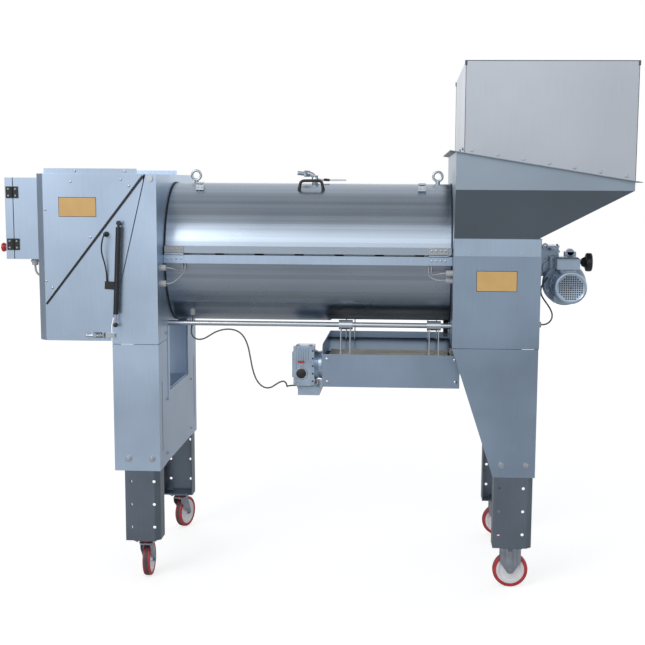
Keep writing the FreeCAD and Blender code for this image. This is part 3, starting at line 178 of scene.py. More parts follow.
red_strip = shader("red_strip", (0.5, 0.04, 0.04), 0.35, 0.0, 0.06, 0.03, 18.0)
black_paint = shader("black_paint", (0.01, 0.013, 0.018), 0.26, 0.0, 0.15, 0.03, 20.0, coat=0.4)
cable_grey = shader("cable_grey", (0.13, 0.14, 0.15), 0.5, 0.0, 0.12, 0.1, 40.0)
cable_pale = shader("cable_pale", (0.42, 0.43, 0.44), 0.5, 0.0, 0.1, 0.1, 40.0)

NODE_MATERIALS = {
    drum_steel: ("casing_lower", "casing_rear", "door_front"),
    hopper_steel: ("hopper_extension",),
    funnel_steel_shaded: ("hopper_funnel",),
    housing_steel_shaded: ("feed_housing", "chain_guard", "legs_outer_right", "crusher_trough"),
    leg_steel_shaded: tuple(name for name in frame["nodes"] if name.startswith("leg_inner")),
    bar_steel: ("guide_bars", "wash_inlet", "wash_lever", "eyebolts", "strut_rods", "hood_latch_front",
                "hood_latch_rear", "door_latch_left", "door_latch_right", "crusher_hangers"),
    dark_steel: ("layshaft", "drive_chain", "shaft_bearings", "roller_bearings"),
    machine_paint: ("drive_gearbox", "drive_motor", "crusher_gearmotor"),
    black_plastic: ("speed_handwheel", "door_fittings", "hood_fittings"),
    grey_plastic: ("cable_glands",),
    red_plastic: ("emergency_stop",),
    pale_rubber: ("roller_front", "roller_rear"),
    black_paint: ("strut_cylinders",),
    bolt_steel: ("frame_fasteners",),
    cable_grey: ("crusher_cable", "frame_cables", "hood_cables"),
    zinc: tuple(name for name in frame["nodes"] if name.startswith("caster_fork")),
    red_tyre: tuple(name for name in frame["nodes"] if name.startswith("caster_wheel")),
}
finish_of = {name: material for material, names in NODE_MATERIALS.items() for name in names}
for name, part in frame["nodes"].items():
    for slot in part.material_slots:
        slot.material = finish_of.get(name, sheet_steel)


# ---- mesh tools
def facing(at, axis):
    """Matrix that puts a shape drawn along +Z at a point, looking along an axis."""
    return Matrix.Translation(at) @ Vector(axis).to_track_quat("Z", "Y").to_matrix().to_4x4()


def block(mesh, low, high, turn=None):
    """Box between two corners, turned about its own centre where turn is given."""
    low, high = Vector(low), Vector(high)
    place = Matrix.Translation((low + high) / 2) @ (turn.to_4x4() if turn else Matrix.Identity(4))
    bmesh.ops.create_cube(mesh, size=1, matrix=place @ Matrix.Diagonal((*(high - low), 1)))


def lathe(mesh, at, axis, profile, sides=48, closed=False):
    """Turned shape from (radius, distance along the axis) pairs; a radius of 0 closes an end."""
    place = facing(at, axis)
    rings = []
    for radius, along in profile:
        angles = [2 * math.pi * side / sides for side in range(sides if radius else 1)]
        spots = [Vector((radius * math.cos(angle), radius * math.sin(angle), along)) for angle in angles]
        rings.append([mesh.verts.new(place @ spot) for spot in spots])
    pairs = list(zip(rings, rings[1:]))
    if closed:
        pairs.append((rings[-1], rings[0]))
    for one, two in pairs:
        for side in range(sides):
            corners = [one[side % len(one)], one[(side + 1) % len(one)],
                       two[(side + 1) % len(two)], two[side % len(two)]]
            mesh.faces.new(list(dict.fromkeys(corners)))


def rod(mesh, at, axis, radius, length, sides=32, edge=0.0008):
    """Round bar from a point along an axis, with a small chamfer at both ends."""
    edge = min(edge, radius / 3, length / 3)
    lathe(mesh, at, axis, ((0, 0), (radius - edge, 0), (radius, edge), (radius, length - edge),
                           (radius - edge, length), (0, length)), sides)


def pipe(mesh, points, radius, sides=20):
    """Round bar bent along points."""
    points = [Vector(point) for point in points]
    angles = [2 * math.pi * side / sides for side in range(sides)]
    side_way = None
    rings = []
    for index, point in enumerate(points):
        along = (points[min(index + 1, len(points) - 1)] - points[max(index - 1, 0)]).normalized()
        if side_way is None:
            side_way = along.orthogonal().normalized()
        side_way = (side_way - along * side_way.dot(along)).normalized()
        other = along.cross(side_way)
        rings.append([mesh.verts.new(point + radius * (side_way * math.cos(angle) + other * math.sin(angle)))
                      for angle in angles])
    for one, two in zip(rings, rings[1:]):
        for side in range(sides):
            mesh.faces.new([one[side], one[(side + 1) % sides], two[(side + 1) % sides], two[side]])
    mesh.faces.new(list(reversed(rings[0])))
    mesh.faces.new(rings[-1])


def slab(mesh, corners, thickness):
    """Flat plate from its outline and a thickness vector."""
    near = [mesh.verts.new(Vector(corner)) for corner in corners]
    far = [mesh.verts.new(Vector(corner) + Vector(thickness)) for corner in corners]
    mesh.faces.new(near)
    mesh.faces.new(list(reversed(far)))
    for index in range(len(near)):
        after = (index + 1) % len(near)
        mesh.faces.new([near[index], far[index], far[after], near[after]])


def profile_plate(mesh, corners, y, thickness):
    """Plate upright along X, from the (x, z) corners of its outline."""
    slab(mesh, [(x, y, z) for x, z in corners], (0, thickness, 0))


def panel(mesh, left, right, foot, top, y, thickness):
    """Upright rectangular plate along X."""
    profile_plate(mesh, [(left, foot), (right, foot), (right, top), (left, top)], y, thickness)


def bolt(mesh, at, axis, size=0.008):
    """Hexagon head on its washer."""
    at, axis = Vector(at), Vector(axis)
    rod(mesh, at, axis, size * 1.25, 0.0015, 24, 0.0003)
    lathe(mesh, at + axis * 0.0015, axis,
          ((0, 0), (size, 0), (size, size * 0.55), (size * 0.86, size * 0.7), (0, size * 0.7)), 6)


def screw(mesh, at, axis, size=0.006):
    """Low domed screw head."""
    lathe(mesh, at, axis,
          ((0, 0), (size, 0), (size * 0.92, size * 0.3), (size * 0.6, size * 0.5), (0, size * 0.55)), 20)


def attach(name, data, material, body, replaces):
    """Object from mesh or curve data that rides on a body."""
    data.materials.append(material)
    piece = bpy.data.objects.new(name, data)
    bpy.context.collection.objects.link(piece)
    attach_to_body(piece, body)
    if replaces:
        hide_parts(*replaces)
    return piece


def finish(mesh, name, material, body, bevel=0.0006, replaces=()):
    """Turn the collected mesh into a smooth-shaded piece with small rounded edges."""
    bmesh.ops.recalc_face_normals(mesh, faces=mesh.faces)
    data = bpy.data.meshes.new(name)
    mesh.to_mesh(data)
    mesh.free()
    data.polygons.foreach_set("use_smooth", [True] * len(data.polygons))
    data.set_sharp_from_angle(angle=SHADE_SHARP)
    piece = attach(name, data, material, body, replaces)
    if bevel:
        edges = piece.modifiers.new("edges", "BEVEL")
        edges.width, edges.segments = bevel, 2
        edges.limit_method, edges.angle_limit = "ANGLE", ROUND_OVER
        edges.harden_normals = True


def label_plate(name, body, left, right, foot, top, y):
    """Plain yellow plate, with nothing written on it, on a slightly larger black one."""
    margin = 0.002
    edge = bmesh.new()
    panel(edge, left, right, foot, top, y, -0.0004)
    finish(edge, f"{name}_edge", black_plastic, body, 0)
    plate = bmesh.new()
    panel(plate, left + margin, right - margin, foot + margin, top - margin, y - 0.0003, -0.0006)
    finish(plate, name, yellow_plate, body, 0.0002)


def on_both_sides(y, *places):
    """The (x, z) places at -y and again at +y, each with its outward axis."""
    return [((x, side * y, z), (0, side, 0)) for side in (-1, 1) for x, z in places]


# ---- casters
def wheel(name, body, centre, axis):
    """Polyurethane tyre with its dark tread band on a pale hub, each turned from half of its outline."""
    for part, look, half, sides, bevel, replaced in (
            ("tyre", red_tyre, ((0.06, 0.0155), (0.069, 0.016), (0.0722, 0.015), (0.0741, 0.0125),
                                (0.0746, 0.009)), 72, 0, (f"caster_wheel_{name}",)),
            ("tread", tread_grey, ((0.074, 0.0088), (0.0749, 0.008), (WHEEL_RADIUS, 0.006)), 72, 0, ()),
            ("hub", cream_hub, ((0.0064, 0.018), (0.0165, 0.018), (0.0175, 0.017), (0.019, 0.0085),
                                (0.044, 0.0072), (0.0485, 0.0118), (0.059, 0.0138), (0.0605, 0.0134)),
             60, 0.0004, ())):
        mesh = bmesh.new()
        outline = [(r, -a) for r, a in half] + [(r, a) for r, a in reversed(half)]
        lathe(mesh, centre, axis, outline, sides, True)
        finish(mesh, f"{part}_{name}", look, body, bevel, replaced)


def fork(name, body, pivot, centre, axis):
    """Pressed fork round the wheel; a swivelling one has its trail and ball-race head."""
    trail = (Vector((centre.x, centre.y, 0)) - Vector((pivot.x, pivot.y, 0))).length
    swivels = trail > 0.01
    turn = Matrix.Translation((pivot.x, pivot.y, 0)) @ Matrix.Rotation(math.atan2(-axis.x, axis.y), 4, "Z")
    mesh = bmesh.new()
    for hand in (-1, 1):
        near = hand * 0.0205
        if swivels:
            outline = [(-0.03, 0.158), (-0.027, 0.135), (trail - 0.016, 0.078), (trail - 0.012, 0.064),
                       (trail, 0.0605), (trail + 0.012, 0.064), (trail + 0.016, 0.08), (0.036, 0.135),
                       (0.034, 0.158)]
        else:
            outline = [(-0.044, 0.174), (-0.044, 0.112), (-0.016, 0.07), (-0.01, 0.0615), (0.01, 0.0615),
                       (0.016, 0.07), (0.044, 0.112), (0.044, 0.174)]
            for rib, low in ((-0.024, 0.106), (0.01, 0.098), (0.028, 0.106)):
                rod(mesh, (rib, near + hand * 0.0018, low), Z, 0.0036, 0.172 - low, 16, 0.0015)
        profile_plate(mesh, outline, near, hand * 0.003)
        lathe(mesh, (trail, near + hand * 0.003, WHEEL_RADIUS), Y * hand,
              ((0, 0), (0.0125, 0), (0.0125, 0.0015), (0.0095, 0.0018), (0.0095, 0.0055), (0, 0.0058)), 6)
    rod(mesh, (trail, -0.03, WHEEL_RADIUS), Y, 0.0058, 0.06)
    if swivels:
        lathe(mesh, (0, 0, 0.1535), Z,
              ((0, 0), (0.029, 0), (0.033, 0.003), (0.033, 0.0075), (0.027, 0.0125), (0.0215, 0.015),
               (0.019, 0.02), (0, 0.02)), 40)
        block(mesh, (-0.03, -0.0235, 0.154), (0.034, 0.0235, 0.1585))
    else:
        block(mesh, (-0.044, -0.0235, 0.1685), (0.044, 0.0235, 0.1738))
    bmesh.ops.transform(mesh, matrix=turn, verts=mesh.verts)
    finish(mesh, f"fork_{name}", zinc, body, 0.0007, (f"caster_fork_{name}",) if swivels else ())
    if swivels:
        seal = bmesh.new()
        lathe(seal, (pivot.x, pivot.y, 0.1665), Z,
              ((0.02, 0), (0.0275, 0), (0.028, 0.002), (0.0275, 0.0045), (0.02, 0.0045)), 40, True)
        finish(seal, f"seal_{name}", red_tyre, body, 0)


def casters():
    """Wheel, fork and foot bolts of the two swivelling and the two fixed casters."""
    for end in ("front", "rear"):
        for side in ("left", "right"):
            name = f"{end}_{side}"
            spin = JOINTS[f"wheel_{name}_spin"]
            centre, axis = Vector(spin["pos_m"]), Vector(spin["axis"])
            swivel = JOINTS.get(f"caster_{name}_swivel")
            pivot = Vector(swivel["pos_m"]) if swivel else centre
            wheel(name, f"wheel_{name}", centre, axis)
            fork(name, f"caster_{name}" if swivel else f"leg_{name}", pivot, centre, axis)
            plate = bmesh.new()
            for dx in (-0.037, 0.037):
                for dy in (-0.028, 0.028):
                    bolt(plate, (pivot.x + dx, pivot.y + dy, 0.1739), -Z, 0.0062)
            finish(plate, f"foot_bolts_{name}", bolt_steel, f"leg_{name}", 0.0003)


# ---- gearmotors
def finned(mesh, centre, start, end, radius, fins=30):
    """Motor stator along Y with straight cooling fins all round; radius is that of the fin tips."""
    fin_height = 0.0065
    outline = []
    for fin in range(fins):
        for share, sunk in ((-0.5, 1), (-0.2, 1), (-0.16, 0), (0.16, 0), (0.2, 1)):
            angle = 2 * math.pi * (fin + share) / fins
            reach = radius - sunk * fin_height
            outline.append((centre[0] + reach * math.cos(angle), start, centre[1] + reach * math.sin(angle)))
    slab(mesh, outline, (0, end - start, 0))


def cowl(name, body, centre, face_y, back_y, radius):
    """Fan cowl whose face, at face_y, has a raised rim and a square pattern of black squares, painted shade that
    stands for the air holes.
    """
    out = -1 if face_y < back_y else 1
    deep = abs(back_y - face_y)
    shell = bmesh.new()
    lathe(shell, (centre[0], face_y, centre[1]), (0, -out, 0),
          ((0, 0.003), (radius * 0.8, 0.003), (radius * 0.84, 0.0015), (radius * 0.88, 0),
           (radius * 0.94, 0.0008), (radius * 0.985, 0.004), (radius, 0.01), (radius, deep),
           (radius * 0.7, deep)), 56)
    finish(shell, f"{name}_cowl", machine_paint, body, 0)
    # painted shade: black squares and a black centre disc stand for the dark air holes
    painted_holes = bmesh.new()
    pitch, hole = 0.0092, 0.0031
    for row in range(-5, 6):
        for column in range(-5, 6):
            x, z = column * pitch, row * pitch
            if 0.006 < math.hypot(x, z) < radius * 0.74:
                middle = Vector((centre[0] + x, face_y - out * 0.003, centre[1] + z))
                block(painted_holes, middle - Vector((hole, 0.0005, hole)), middle + Vector((hole, 0.0005, hole)))
    rod(painted_holes, (centre[0], face_y - out * 0.0025, centre[1]), (0, -out, 0), 0.0045, 0.001, 20, 0.0002)
    finish(painted_holes, f"{name}_hole_shade", black_plastic, body, 0)


def terminal_box(mesh, low, high):
    """Cast box with a hipped lid on its top."""
    low, high = Vector(low), Vector(high)
    overhang, slope, brow_height, lid_height = 0.002, 0.012, 0.004, 0.012
    z = high.z - lid_height
    middle = (low + high) / 2
    block(mesh, low, (high.x, high.y, z))
    rim = [(low.x - overhang, low.y - overhang), (high.x + overhang, low.y - overhang),
           (high.x + overhang, high.y + overhang), (low.x - overhang, high.y + overhang)]
    base = [mesh.verts.new((x, y, z)) for x, y in rim]
    brow = [mesh.verts.new((x, y, z + brow_height)) for x, y in rim]
    crown = [mesh.verts.new((x + (slope if x < middle.x else -slope), y + (slope if y < middle.y else -slope),
                             high.z)) for x, y in rim]
    mesh.faces.new(list(reversed(base)))
    mesh.faces.new(crown)
    for lower, upper in ((base, brow), (brow, crown)):
        for index in range(4):
            after = (index + 1) % 4
            mesh.faces.new([lower[index], lower[after], upper[after], upper[index]])


def drive_unit():
    """Main motor, its variator and reducer at the hopper end, and the speed handwheel."""
    low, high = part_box("drive_motor")
    x, z, radius = 1.101, 1.281, 0.063
    face_y = -0.166                   # variator face on the motor's side
    grip_y, grip_z = -0.13, 1.374     # handwheel axis
    motor = bmesh.new()
    finned(motor, (x, z), low.y + 0.05, high.y, radius)
    rod(motor, (x, low.y + 0.046, z), Y, radius * 0.97, 0.012, 48)
    rod(motor, (x, high.y - 0.014, z), Y, radius * 1.04, 0.014, 48)
    block(motor, (1.066, -0.29, 1.33), (1.132, -0.21, 1.356))
    terminal_box(motor, (1.05, -0.3, 1.352), (1.146, -0.2, 1.404))
    for foot_y in (-0.292, -0.222):
        block(motor, (1.04, foot_y, 1.212), (1.104, foot_y + 0.016, 1.24))
    block(motor, (1.046, -0.3, 1.212), (1.062, -0.2, 1.219))
    finish(motor, "drive_motor_case", machine_paint, "frame", 0.0012, ("drive_motor",))
    cowl("drive_motor", "frame", (x, z), low.y, low.y + 0.056, 0.068)
    gear = bmesh.new()
    lathe(gear, (x, face_y, z), Y,
          ((0, 0.002), (0.062, 0.002), (0.066, 0), (0.089, 0), (0.092, 0.003), (0.092, 0.014), (0.088, 0.018),
           (0.088, 0.052), (0.092, 0.056), (0.092, 0.067), (0.089, 0.07), (0, 0.07)), 64)
    block(gear, (1.036, -0.164, 1.3), (1.15, -0.098, 1.398))
    block(gear, (1.098, -0.16, 1.392), (1.146, -0.108, 1.42))
    lathe(gear, (1.122, -0.16, 1.418), Y, ((0, 0), (0.015, 0), (0.015, 0.05), (0, 0.05)), 28)
    rod(gear, (1.15, grip_y, grip_z), X, 0.017, 0.0138, 32)
    rod(gear, (1.044, -0.131, 1.424), Z, 0.014, 0.012, 28)
    rod(gear, (1.022, -0.178, 1.31), Y, 0.0085, 0.014, 24)
    rod(gear, (1.042, -0.096, 1.345), Y, 0.033, 0.018, 40)
    block(gear, (1.006, -0.08, 1.308), (1.078, 0.08, 1.44))
    for rib_y in (-0.056, -0.019, 0.018, 0.055):
        block(gear, (1.076, rib_y - 0.003, 1.312), (1.0805, rib_y + 0.003, 1.436))
    lathe(gear, (1.078, 0, DRUM_AXIS_Z), X,
          ((0.028, 0), (0.046, 0), (0.046, 0.006), (0.044, 0.008), (0.03, 0.008), (0.028, 0.006)), 48, True)
    lathe(gear, (1.02, -0.088, 1.44), Y,
          ((0.006, -0.006), (0.013, -0.006), (0.013, 0.006), (0.006, 0.006)), 28, True)
    finish(gear, "drive_gear_case", machine_paint, "frame", 0.003, ("drive_gearbox",))
    bolts = bmesh.new()
    for turn in range(8):
        angle = math.radians(45 * turn + 22.5)
        bolt(bolts, (x + 0.079 * math.cos(angle), face_y, z + 0.079 * math.sin(angle)), -Y, 0.0055)
        bolt(bolts, (1.086, 0.037 * math.cos(angle), DRUM_AXIS_Z + 0.037 * math.sin(angle)), X, 0.0045)
    for bolt_x in (1.052, 1.134):
        for bolt_z in (1.372, 1.392):
            bolt(bolts, (bolt_x, face_y, bolt_z), -Y, 0.0048)
    for screw_x in (1.06, 1.136):
        for screw_y in (-0.29, -0.21):
            screw(bolts, (screw_x, screw_y, 1.4005), Z, 0.004)
    screw(bolts, (1.07, face_y, 1.35), -Y, 0.007)
    finish(bolts, "drive_bolts", bolt_steel, "frame", 0.0003)
    grip = bmesh.new()
    rod(grip, (1.1645, grip_y, grip_z), X, 0.008, 0.008, 24)
    lathe(grip, (1.172, grip_y, grip_z), X,
          ((0, 0), (0.014, 0), (0.016, 0.001), (0.023, 0.014), (0.026, 0.017), (0.034, 0.018),
           (0.0385, 0.0205), (0.04, 0.026), (0.04, 0.038), (0.0385, 0.0435), (0.034, 0.046),
           (0.02, 0.0475), (0, 0.048)), 56)
    finish(grip, "speed_grip", black_plastic, "speed_handwheel", 0, ("speed_handwheel",))


def crusher_unit():
    """Finned reducer, motor and terminal box that turn the crusher rollers."""
    centre_x, centre_z = -0.035, 0.872
    disc_x, disc_z = -0.045, 0.868    # round cap in the reducer's face
    shaft_y, shaft_z = -0.06, 0.9     # flange towards the rollers
    gland_y, gland_z = 0.04, 0.786
    paint = bmesh.new()
    finned(paint, (centre_x, centre_z), 0.01, 0.196, 0.06)
    rod(paint, (centre_x, 0.0, centre_z), Y, 0.062, 0.014, 48)
    for low, high in (((-0.062, -0.11, 0.767), (0.035, 0.11, 0.806)),     # terminal box and what it hangs on
                      ((-0.064, -0.112, 0.796), (0.037, 0.112, 0.8)),
                      ((-0.05, -0.1, 0.805), (0.02, 0.0, 0.815)),
                      ((-0.06, 0.034, 0.805), (0.01, 0.1, 0.83)),
                      ((-0.074, -0.124, 0.818), (0.008, 0.002, 0.986)),   # reducer case
                      ((-0.082, -0.106, 0.834), (-0.072, -0.014, 0.972)),
                      ((-0.07, -0.128, 0.812), (0.0, -0.118, 0.992))):
        block(paint, low, high)
    for lug_x in (-0.062, -0.004):
        lathe(paint, (lug_x, -0.105, 0.986), Z,
              ((0, 0), (0.01, 0), (0.01, 0.005), (0.006, 0.009), (0, 0.009)), 24)
    for fin in range(5):
        fin_x = -0.058 + 0.0105 * fin
        block(paint, (fin_x - 0.0018, -0.1335, 0.926), (fin_x + 0.0018, -0.12, 0.982))
    block(paint, (-0.066, -0.1325, 0.917), (-0.004, -0.12, 0.9225))
    block(paint, (0.0, -0.1315, 0.818), (0.013, -0.11, 0.99))
    block(paint, (-0.08, -0.1315, 0.818), (-0.068, -0.11, 0.99))
    lathe(paint, (disc_x, -0.124, disc_z), -Y,
          ((0, 0), (0.03, 0), (0.03, 0.004), (0.0275, 0.006), (0, 0.006)), 40)
    for fin in range(6):
        fin_y = -0.1 + 0.016 * fin
        block(paint, (-0.0885, fin_y - 0.0018, 0.846), (-0.076, fin_y + 0.0018, 0.96))
    lathe(paint, (0.004, shaft_y, shaft_z), X,
          ((0, 0), (0.068, 0), (0.066, 0.012), (0.06, 0.026), (0.064, 0.04), (0.086, 0.044), (0.086, 0.0525),
           (0, 0.0525)), 60)
    finish(paint, "crusher_gear_case", machine_paint, "crusher", 0.0022, ("crusher_gearmotor",))
    cowl("crusher_motor", "crusher", (centre_x, centre_z), 0.24, 0.192, 0.064)
    disc = bmesh.new()
    lathe(disc, (disc_x, -0.13, disc_z), -Y,
          ((0, 0), (0.0215, 0), (0.0215, 0.003), (0.018, 0.0045), (0, 0.0045)), 40)
    # painted shade: small black discs stand for the dark holes in the upright rib
    for hole_z in (0.834, 0.868, 0.902, 0.936, 0.97):
        rod(disc, (0.0065, -0.1318, hole_z), Y, 0.0042, 0.002, 16, 0.0002)
    rod(disc, (-0.0765, gland_y, gland_z), X, 0.0098, 0.016, 24)
    finish(disc, "crusher_gear_caps_and_hole_shade", black_plastic, "crusher", 0.0005)
    bright = bmesh.new()
    lathe(bright, (disc_x, -0.129, disc_z), -Y,
          ((0.0217, 0), (0.0262, 0), (0.0255, 0.0042), (0.0222, 0.0042)), 40, True)
    for bolt_x, bolt_z in ((-0.043, 0.906), (-0.074, 0.978), (-0.074, 0.83)):
        bolt(bright, (bolt_x, -0.1315, bolt_z), -Y, 0.005)
    for turn in range(6):
        angle = math.radians(60 * turn + 15)
        bolt(bright, (0.048, shaft_y + 0.075 * math.cos(angle), shaft_z + 0.075 * math.sin(angle)),
             -X, 0.0058)
    lathe(bright, (-0.0785, gland_y, gland_z), X,
          ((0, 0), (0.0085, 0), (0.0105, 0.003), (0.0105, 0.007), (0, 0.007)), 6)
    finish(bright, "crusher_gear_bolts", bolt_steel, "crusher", 0.0003)
    strip = bmesh.new()
    block(strip, (-0.06, -0.1345, 0.9155), (-0.03, -0.1325, 0.9245))
    finish(strip, "crusher_gear_strip", red_strip, "crusher", 0.0002)


# ---- drum fittings
def door_furniture():
    """Bridge handle, hinge leaves and latches of the casing door."""
    low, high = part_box("door_fittings")
    handle = bmesh.new()
    top = high.z
    arch = [(-0.0545, 1.676), (-0.0515, top - 0.026), (-0.0485, top - 0.014), (-0.042, top - 0.0085),
            (-0.032, top - 0.0068), (-0.0025, top - 0.0065), (0.027, top - 0.0068), (0.037, top - 0.0085),
            (0.0435, top - 0.014), (0.0465, top - 0.026), (0.0495, 1.676)]
    pipe(handle, [(x, -0.127, z) for x, z in arch], 0.0065, 20)
    for foot_x in (-0.0545, 0.0495):
        lathe(handle, (foot_x, -0.127, 1.6745), Z,
              ((0, 0), (0.0072, 0), (0.0074, 0.004), (0.0064, 0.014), (0, 0.014)), 24)
    finish(handle, "door_handle", black_plastic, "casing_door", 0, ("door_fittings",))
    leaves = bmesh.new()
    screws = bmesh.new()
    rail = bmesh.new()
    hinge_length = 0.082
    for start in (low.x, high.x - hinge_length):
        block(leaves, (start, -0.3232, 1.4095), (start + hinge_length, -0.318, 1.4385))
        for dx in (0.012, 0.031, 0.051, 0.07):
            screw(screws, (start + dx, -0.3232, 1.427), -Y, 0.0045)
            screw(rail, (start + dx, -0.322, 1.384), -Y, 0.0045)
    finish(leaves, "door_hinge_leaves", grey_plastic, "casing_door", 0.0012)
    bases = bmesh.new()
    for name, start in (("left", -0.506), ("right", 0.462)):
        block(bases, (start, -0.141, 1.6735), (start + 0.034, -0.127, 1.697))
        for ear in (start, start + 0.031):
            block(bases, (ear, -0.139, 1.696), (ear + 0.003, -0.129, 1.7075))
        for dx in (0.009, 0.025):
            screw(screws, (start + dx, -0.141, 1.685), -Y, 0.0035)
        lever = bmesh.new()
        rod(lever, (start + 0.0032, -0.134, 1.703), X, 0.005, 0.0276, 24)
        slab(lever, [(start + dx, y, 1.7035) for dx, y in
                     ((0.0045, -0.134), (0.0045, -0.096), (0.0085, -0.088), (0.0255, -0.088),
                      (0.0295, -0.096), (0.0295, -0.134))], (0, 0, 0.0035))
        block(lever, (start + 0.008, -0.0918, 1.694), (start + 0.026, -0.0885, 1.7045))
        body = f"door_latch_{name}"
        finish(lever, f"latch_lever_{name}", bar_steel, body, 0.0007, (body,))
    finish(bases, "latch_bases", bar_steel, "casing_door", 0.0008)
    finish(screws, "door_screws", bolt_steel, "casing_door", 0)
    finish(rail, "rail_screws", bolt_steel, "frame", 0)


def wash_fittings():
    """Hose tail, union nut, elbow and ball valve of the wash-water inlet, and the valve lever."""
    tail_way = Vector(frame["record"]["mounts"][0]["axis"])
    x, y, ball_z = 0.006, -0.02, 1.722    # the upright valve and its ball
    joint = Vector((-0.042, y, 1.747))
    water = bmesh.new()
    ridges = [(0.0068, 0.029), (0.0092, 0.0298)]
    for ridge in range(4):
        along = 0.0275 - 0.0068 * ridge
        ridges += [(0.0095, along), (0.0086, along - 0.0058)]
    lathe(water, joint, tail_way, [(0.0068, 0.0)] + list(reversed(ridges)), 36, True)
    lathe(water, joint + X * 0.014, -X,
          ((0, 0), (0.0155, 0), (0.0165, 0.002), (0.0165, 0.012), (0.015, 0.0145), (0.011, 0.0155),
           (0, 0.0155)), 6)
    lathe(water, joint + X * 0.026, -X,
          ((0, 0), (0.013, 0), (0.014, 0.002), (0.014, 0.01), (0.0125, 0.012), (0, 0.012)), 40)
    bend = [(-0.022 + 0.028 * math.sin(math.radians(turn)), y, 1.719 + 0.028 * math.cos(math.radians(turn)))
            for turn in range(0, 91, 10)]
    pipe(water, [(-0.032, y, 1.747), *bend, (x, y, 1.703)], 0.0105, 28)
    lathe(water, (x, y, 1.7035), Z,
          ((0, 0), (0.0135, 0), (0.0145, 0.002), (0.0125, 0.005), (0.015, 0.01), (0.0165, 0.018),
           (0.015, 0.026), (0.0125, 0.031), (0.014, 0.033), (0.014, 0.036), (0, 0.037)), 36)
    rod(water, (x, y, ball_z), Y, 0.0062, 0.0162, 20)
    finish(water, "wash_valve", bar_steel, "frame", 0, ("wash_inlet",))
    lever = bmesh.new()
    rod(lever, (x, -0.0036, ball_z), Y, 0.009, 0.006, 28)
    profile_plate(lever, [(0.0, 1.7145), (0.04, 1.715), (0.143, 1.716), (0.1425, 1.7235), (0.04, 1.724),
                          (0.0, 1.729)], -0.0034, 0.0026)
    finish(lever, "wash_lever_blade", bar_steel, "wash_lever", 0.0006, ("wash_lever",))
    grip = bmesh.new()
    profile_plate(grip, [(0.04, 1.7185), (0.052, 1.7145), (0.07, 1.7142), (0.07, 1.725), (0.046, 1.7275)],
                  -0.0042, 0.0044)
    finish(grip, "wash_lever_grip", black_plastic, "wash_lever", 0.001)


def drum_trim():
    """Black gaskets at the drum's ends."""
    inside, outside = 0.3052, 0.3085
    seals = bmesh.new()
    for start, end in ((-0.6175, -0.612), (0.604, 0.6095)):
        lathe(seals, (0, 0, DRUM_AXIS_Z), X,
              [(inside, start), (inside, end), (outside, end), (outside, start)], 96, True)
    finish(seals, "drum_gaskets", black_rubber, "frame", 0)


# ---- hood, control box and struts
def hood_trim():
    """Black strip as painted shadow in the gap below the raised cover's edge, screws, plain label plate, latches,
    gland and switch of the tilting hood.
    """
    low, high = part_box("hood_covers")
    # painted shadow: a black strip along the raised cover's lower edge stands for the shaded gap beneath it
    gap_shadow = bmesh.new()
    start, end = Vector((high.x, 0, high.z - 0.004)), Vector((low.x, 0, low.z))
    out = (end - start).cross(Y).normalized() * 0.0075
    for side in (-1, 1):
        profile_plate(gap_shadow, [(at.x, at.z) for at in (start, end, end + out, start + out)], side * 0.4501,
                      side * 0.0045)
    finish(gap_shadow, "cover_gap_shadows", black_rubber, "hood", 0)
    heads = bmesh.new()
    for at, way in on_both_sides(0.456, (-0.73, 1.69), (-0.895, 1.478), (-1.06, 1.266)):
        screw(heads, at, way, 0.0055)
    for at, way in on_both_sides(0.456, (-0.973, 1.706), (-0.764, 1.716), (-1.082, 1.59), (-1.084, 1.294)):
        screw(heads, at, way, 0.005)
    for at, way in on_both_sides(0.441, (-0.959, 1.75), (-0.749, 1.75)):
        bolt(heads, at, way, 0.0055)
    for y in (-0.39, -0.2, 0.0, 0.2, 0.39):
        screw(heads, (-1.127, y, 1.072), -X, 0.0055)
    finish(heads, "hood_screws", bolt_steel, "hood", 0.0003)
    label_plate("hood_plate", "hood", -1.026, -0.868, 1.562, 1.643, -0.456)
    switch = bmesh.new()
    block(switch, (-0.838, -0.461, 1.2625), (-0.796, -0.45, 1.2955), Matrix.Rotation(math.radians(4), 3, "Y"))
    for side in (-1, 1):
        block(switch, (-0.89, side * 0.453 - 0.003, 1.058), (-0.854, side * 0.453 + 0.003, 1.08))
    lathe(switch, (-0.829, -0.45, 1.491), -Y,
          ((0, 0), (0.0115, 0), (0.0115, 0.006), (0.0095, 0.008), (0.0095, 0.018), (0.006, 0.02),
           (0, 0.02)), 28)
    finish(switch, "hood_switch", black_plastic, "hood", 0.001, ("hood_fittings",))
    for name, side in (("front", -1), ("rear", 1)):
        latch = bmesh.new()
        y = side * 0.466
        lathe(latch, (-0.922, y, 1.069), X,
              ((0, 0), (0.0055, 0.0005), (0.007, 0.003), (0.007, 0.01), (0.0062, 0.013), (0.0062, 0.024),
               (0.007, 0.027), (0.007, 0.036), (0.0045, 0.04), (0, 0.04)), 28)
        for z in (1.0625, 1.0735):
            block(latch, (-0.886, y - 0.004, z), (-0.852, y + 0.004, z + 0.0025))
        pipe(latch, [(-0.884, y, 1.069), (-0.868, y, 1.069), (-0.846, y * 0.994, 1.069)], 0.0025, 12)
        lathe(latch, (-0.848, side * 0.462, 1.058), Z, ((0, 0), (0.005, 0), (0.005, 0.022), (0, 0.022)), 24)
        rod(latch, (-0.881, y, 1.0605), Z, 0.0042, 0.017, 20)
        body = f"hood_latch_{name}"
        finish(latch, f"hood_latch_lever_{name}", bar_steel, body, 0.0004, (body,))


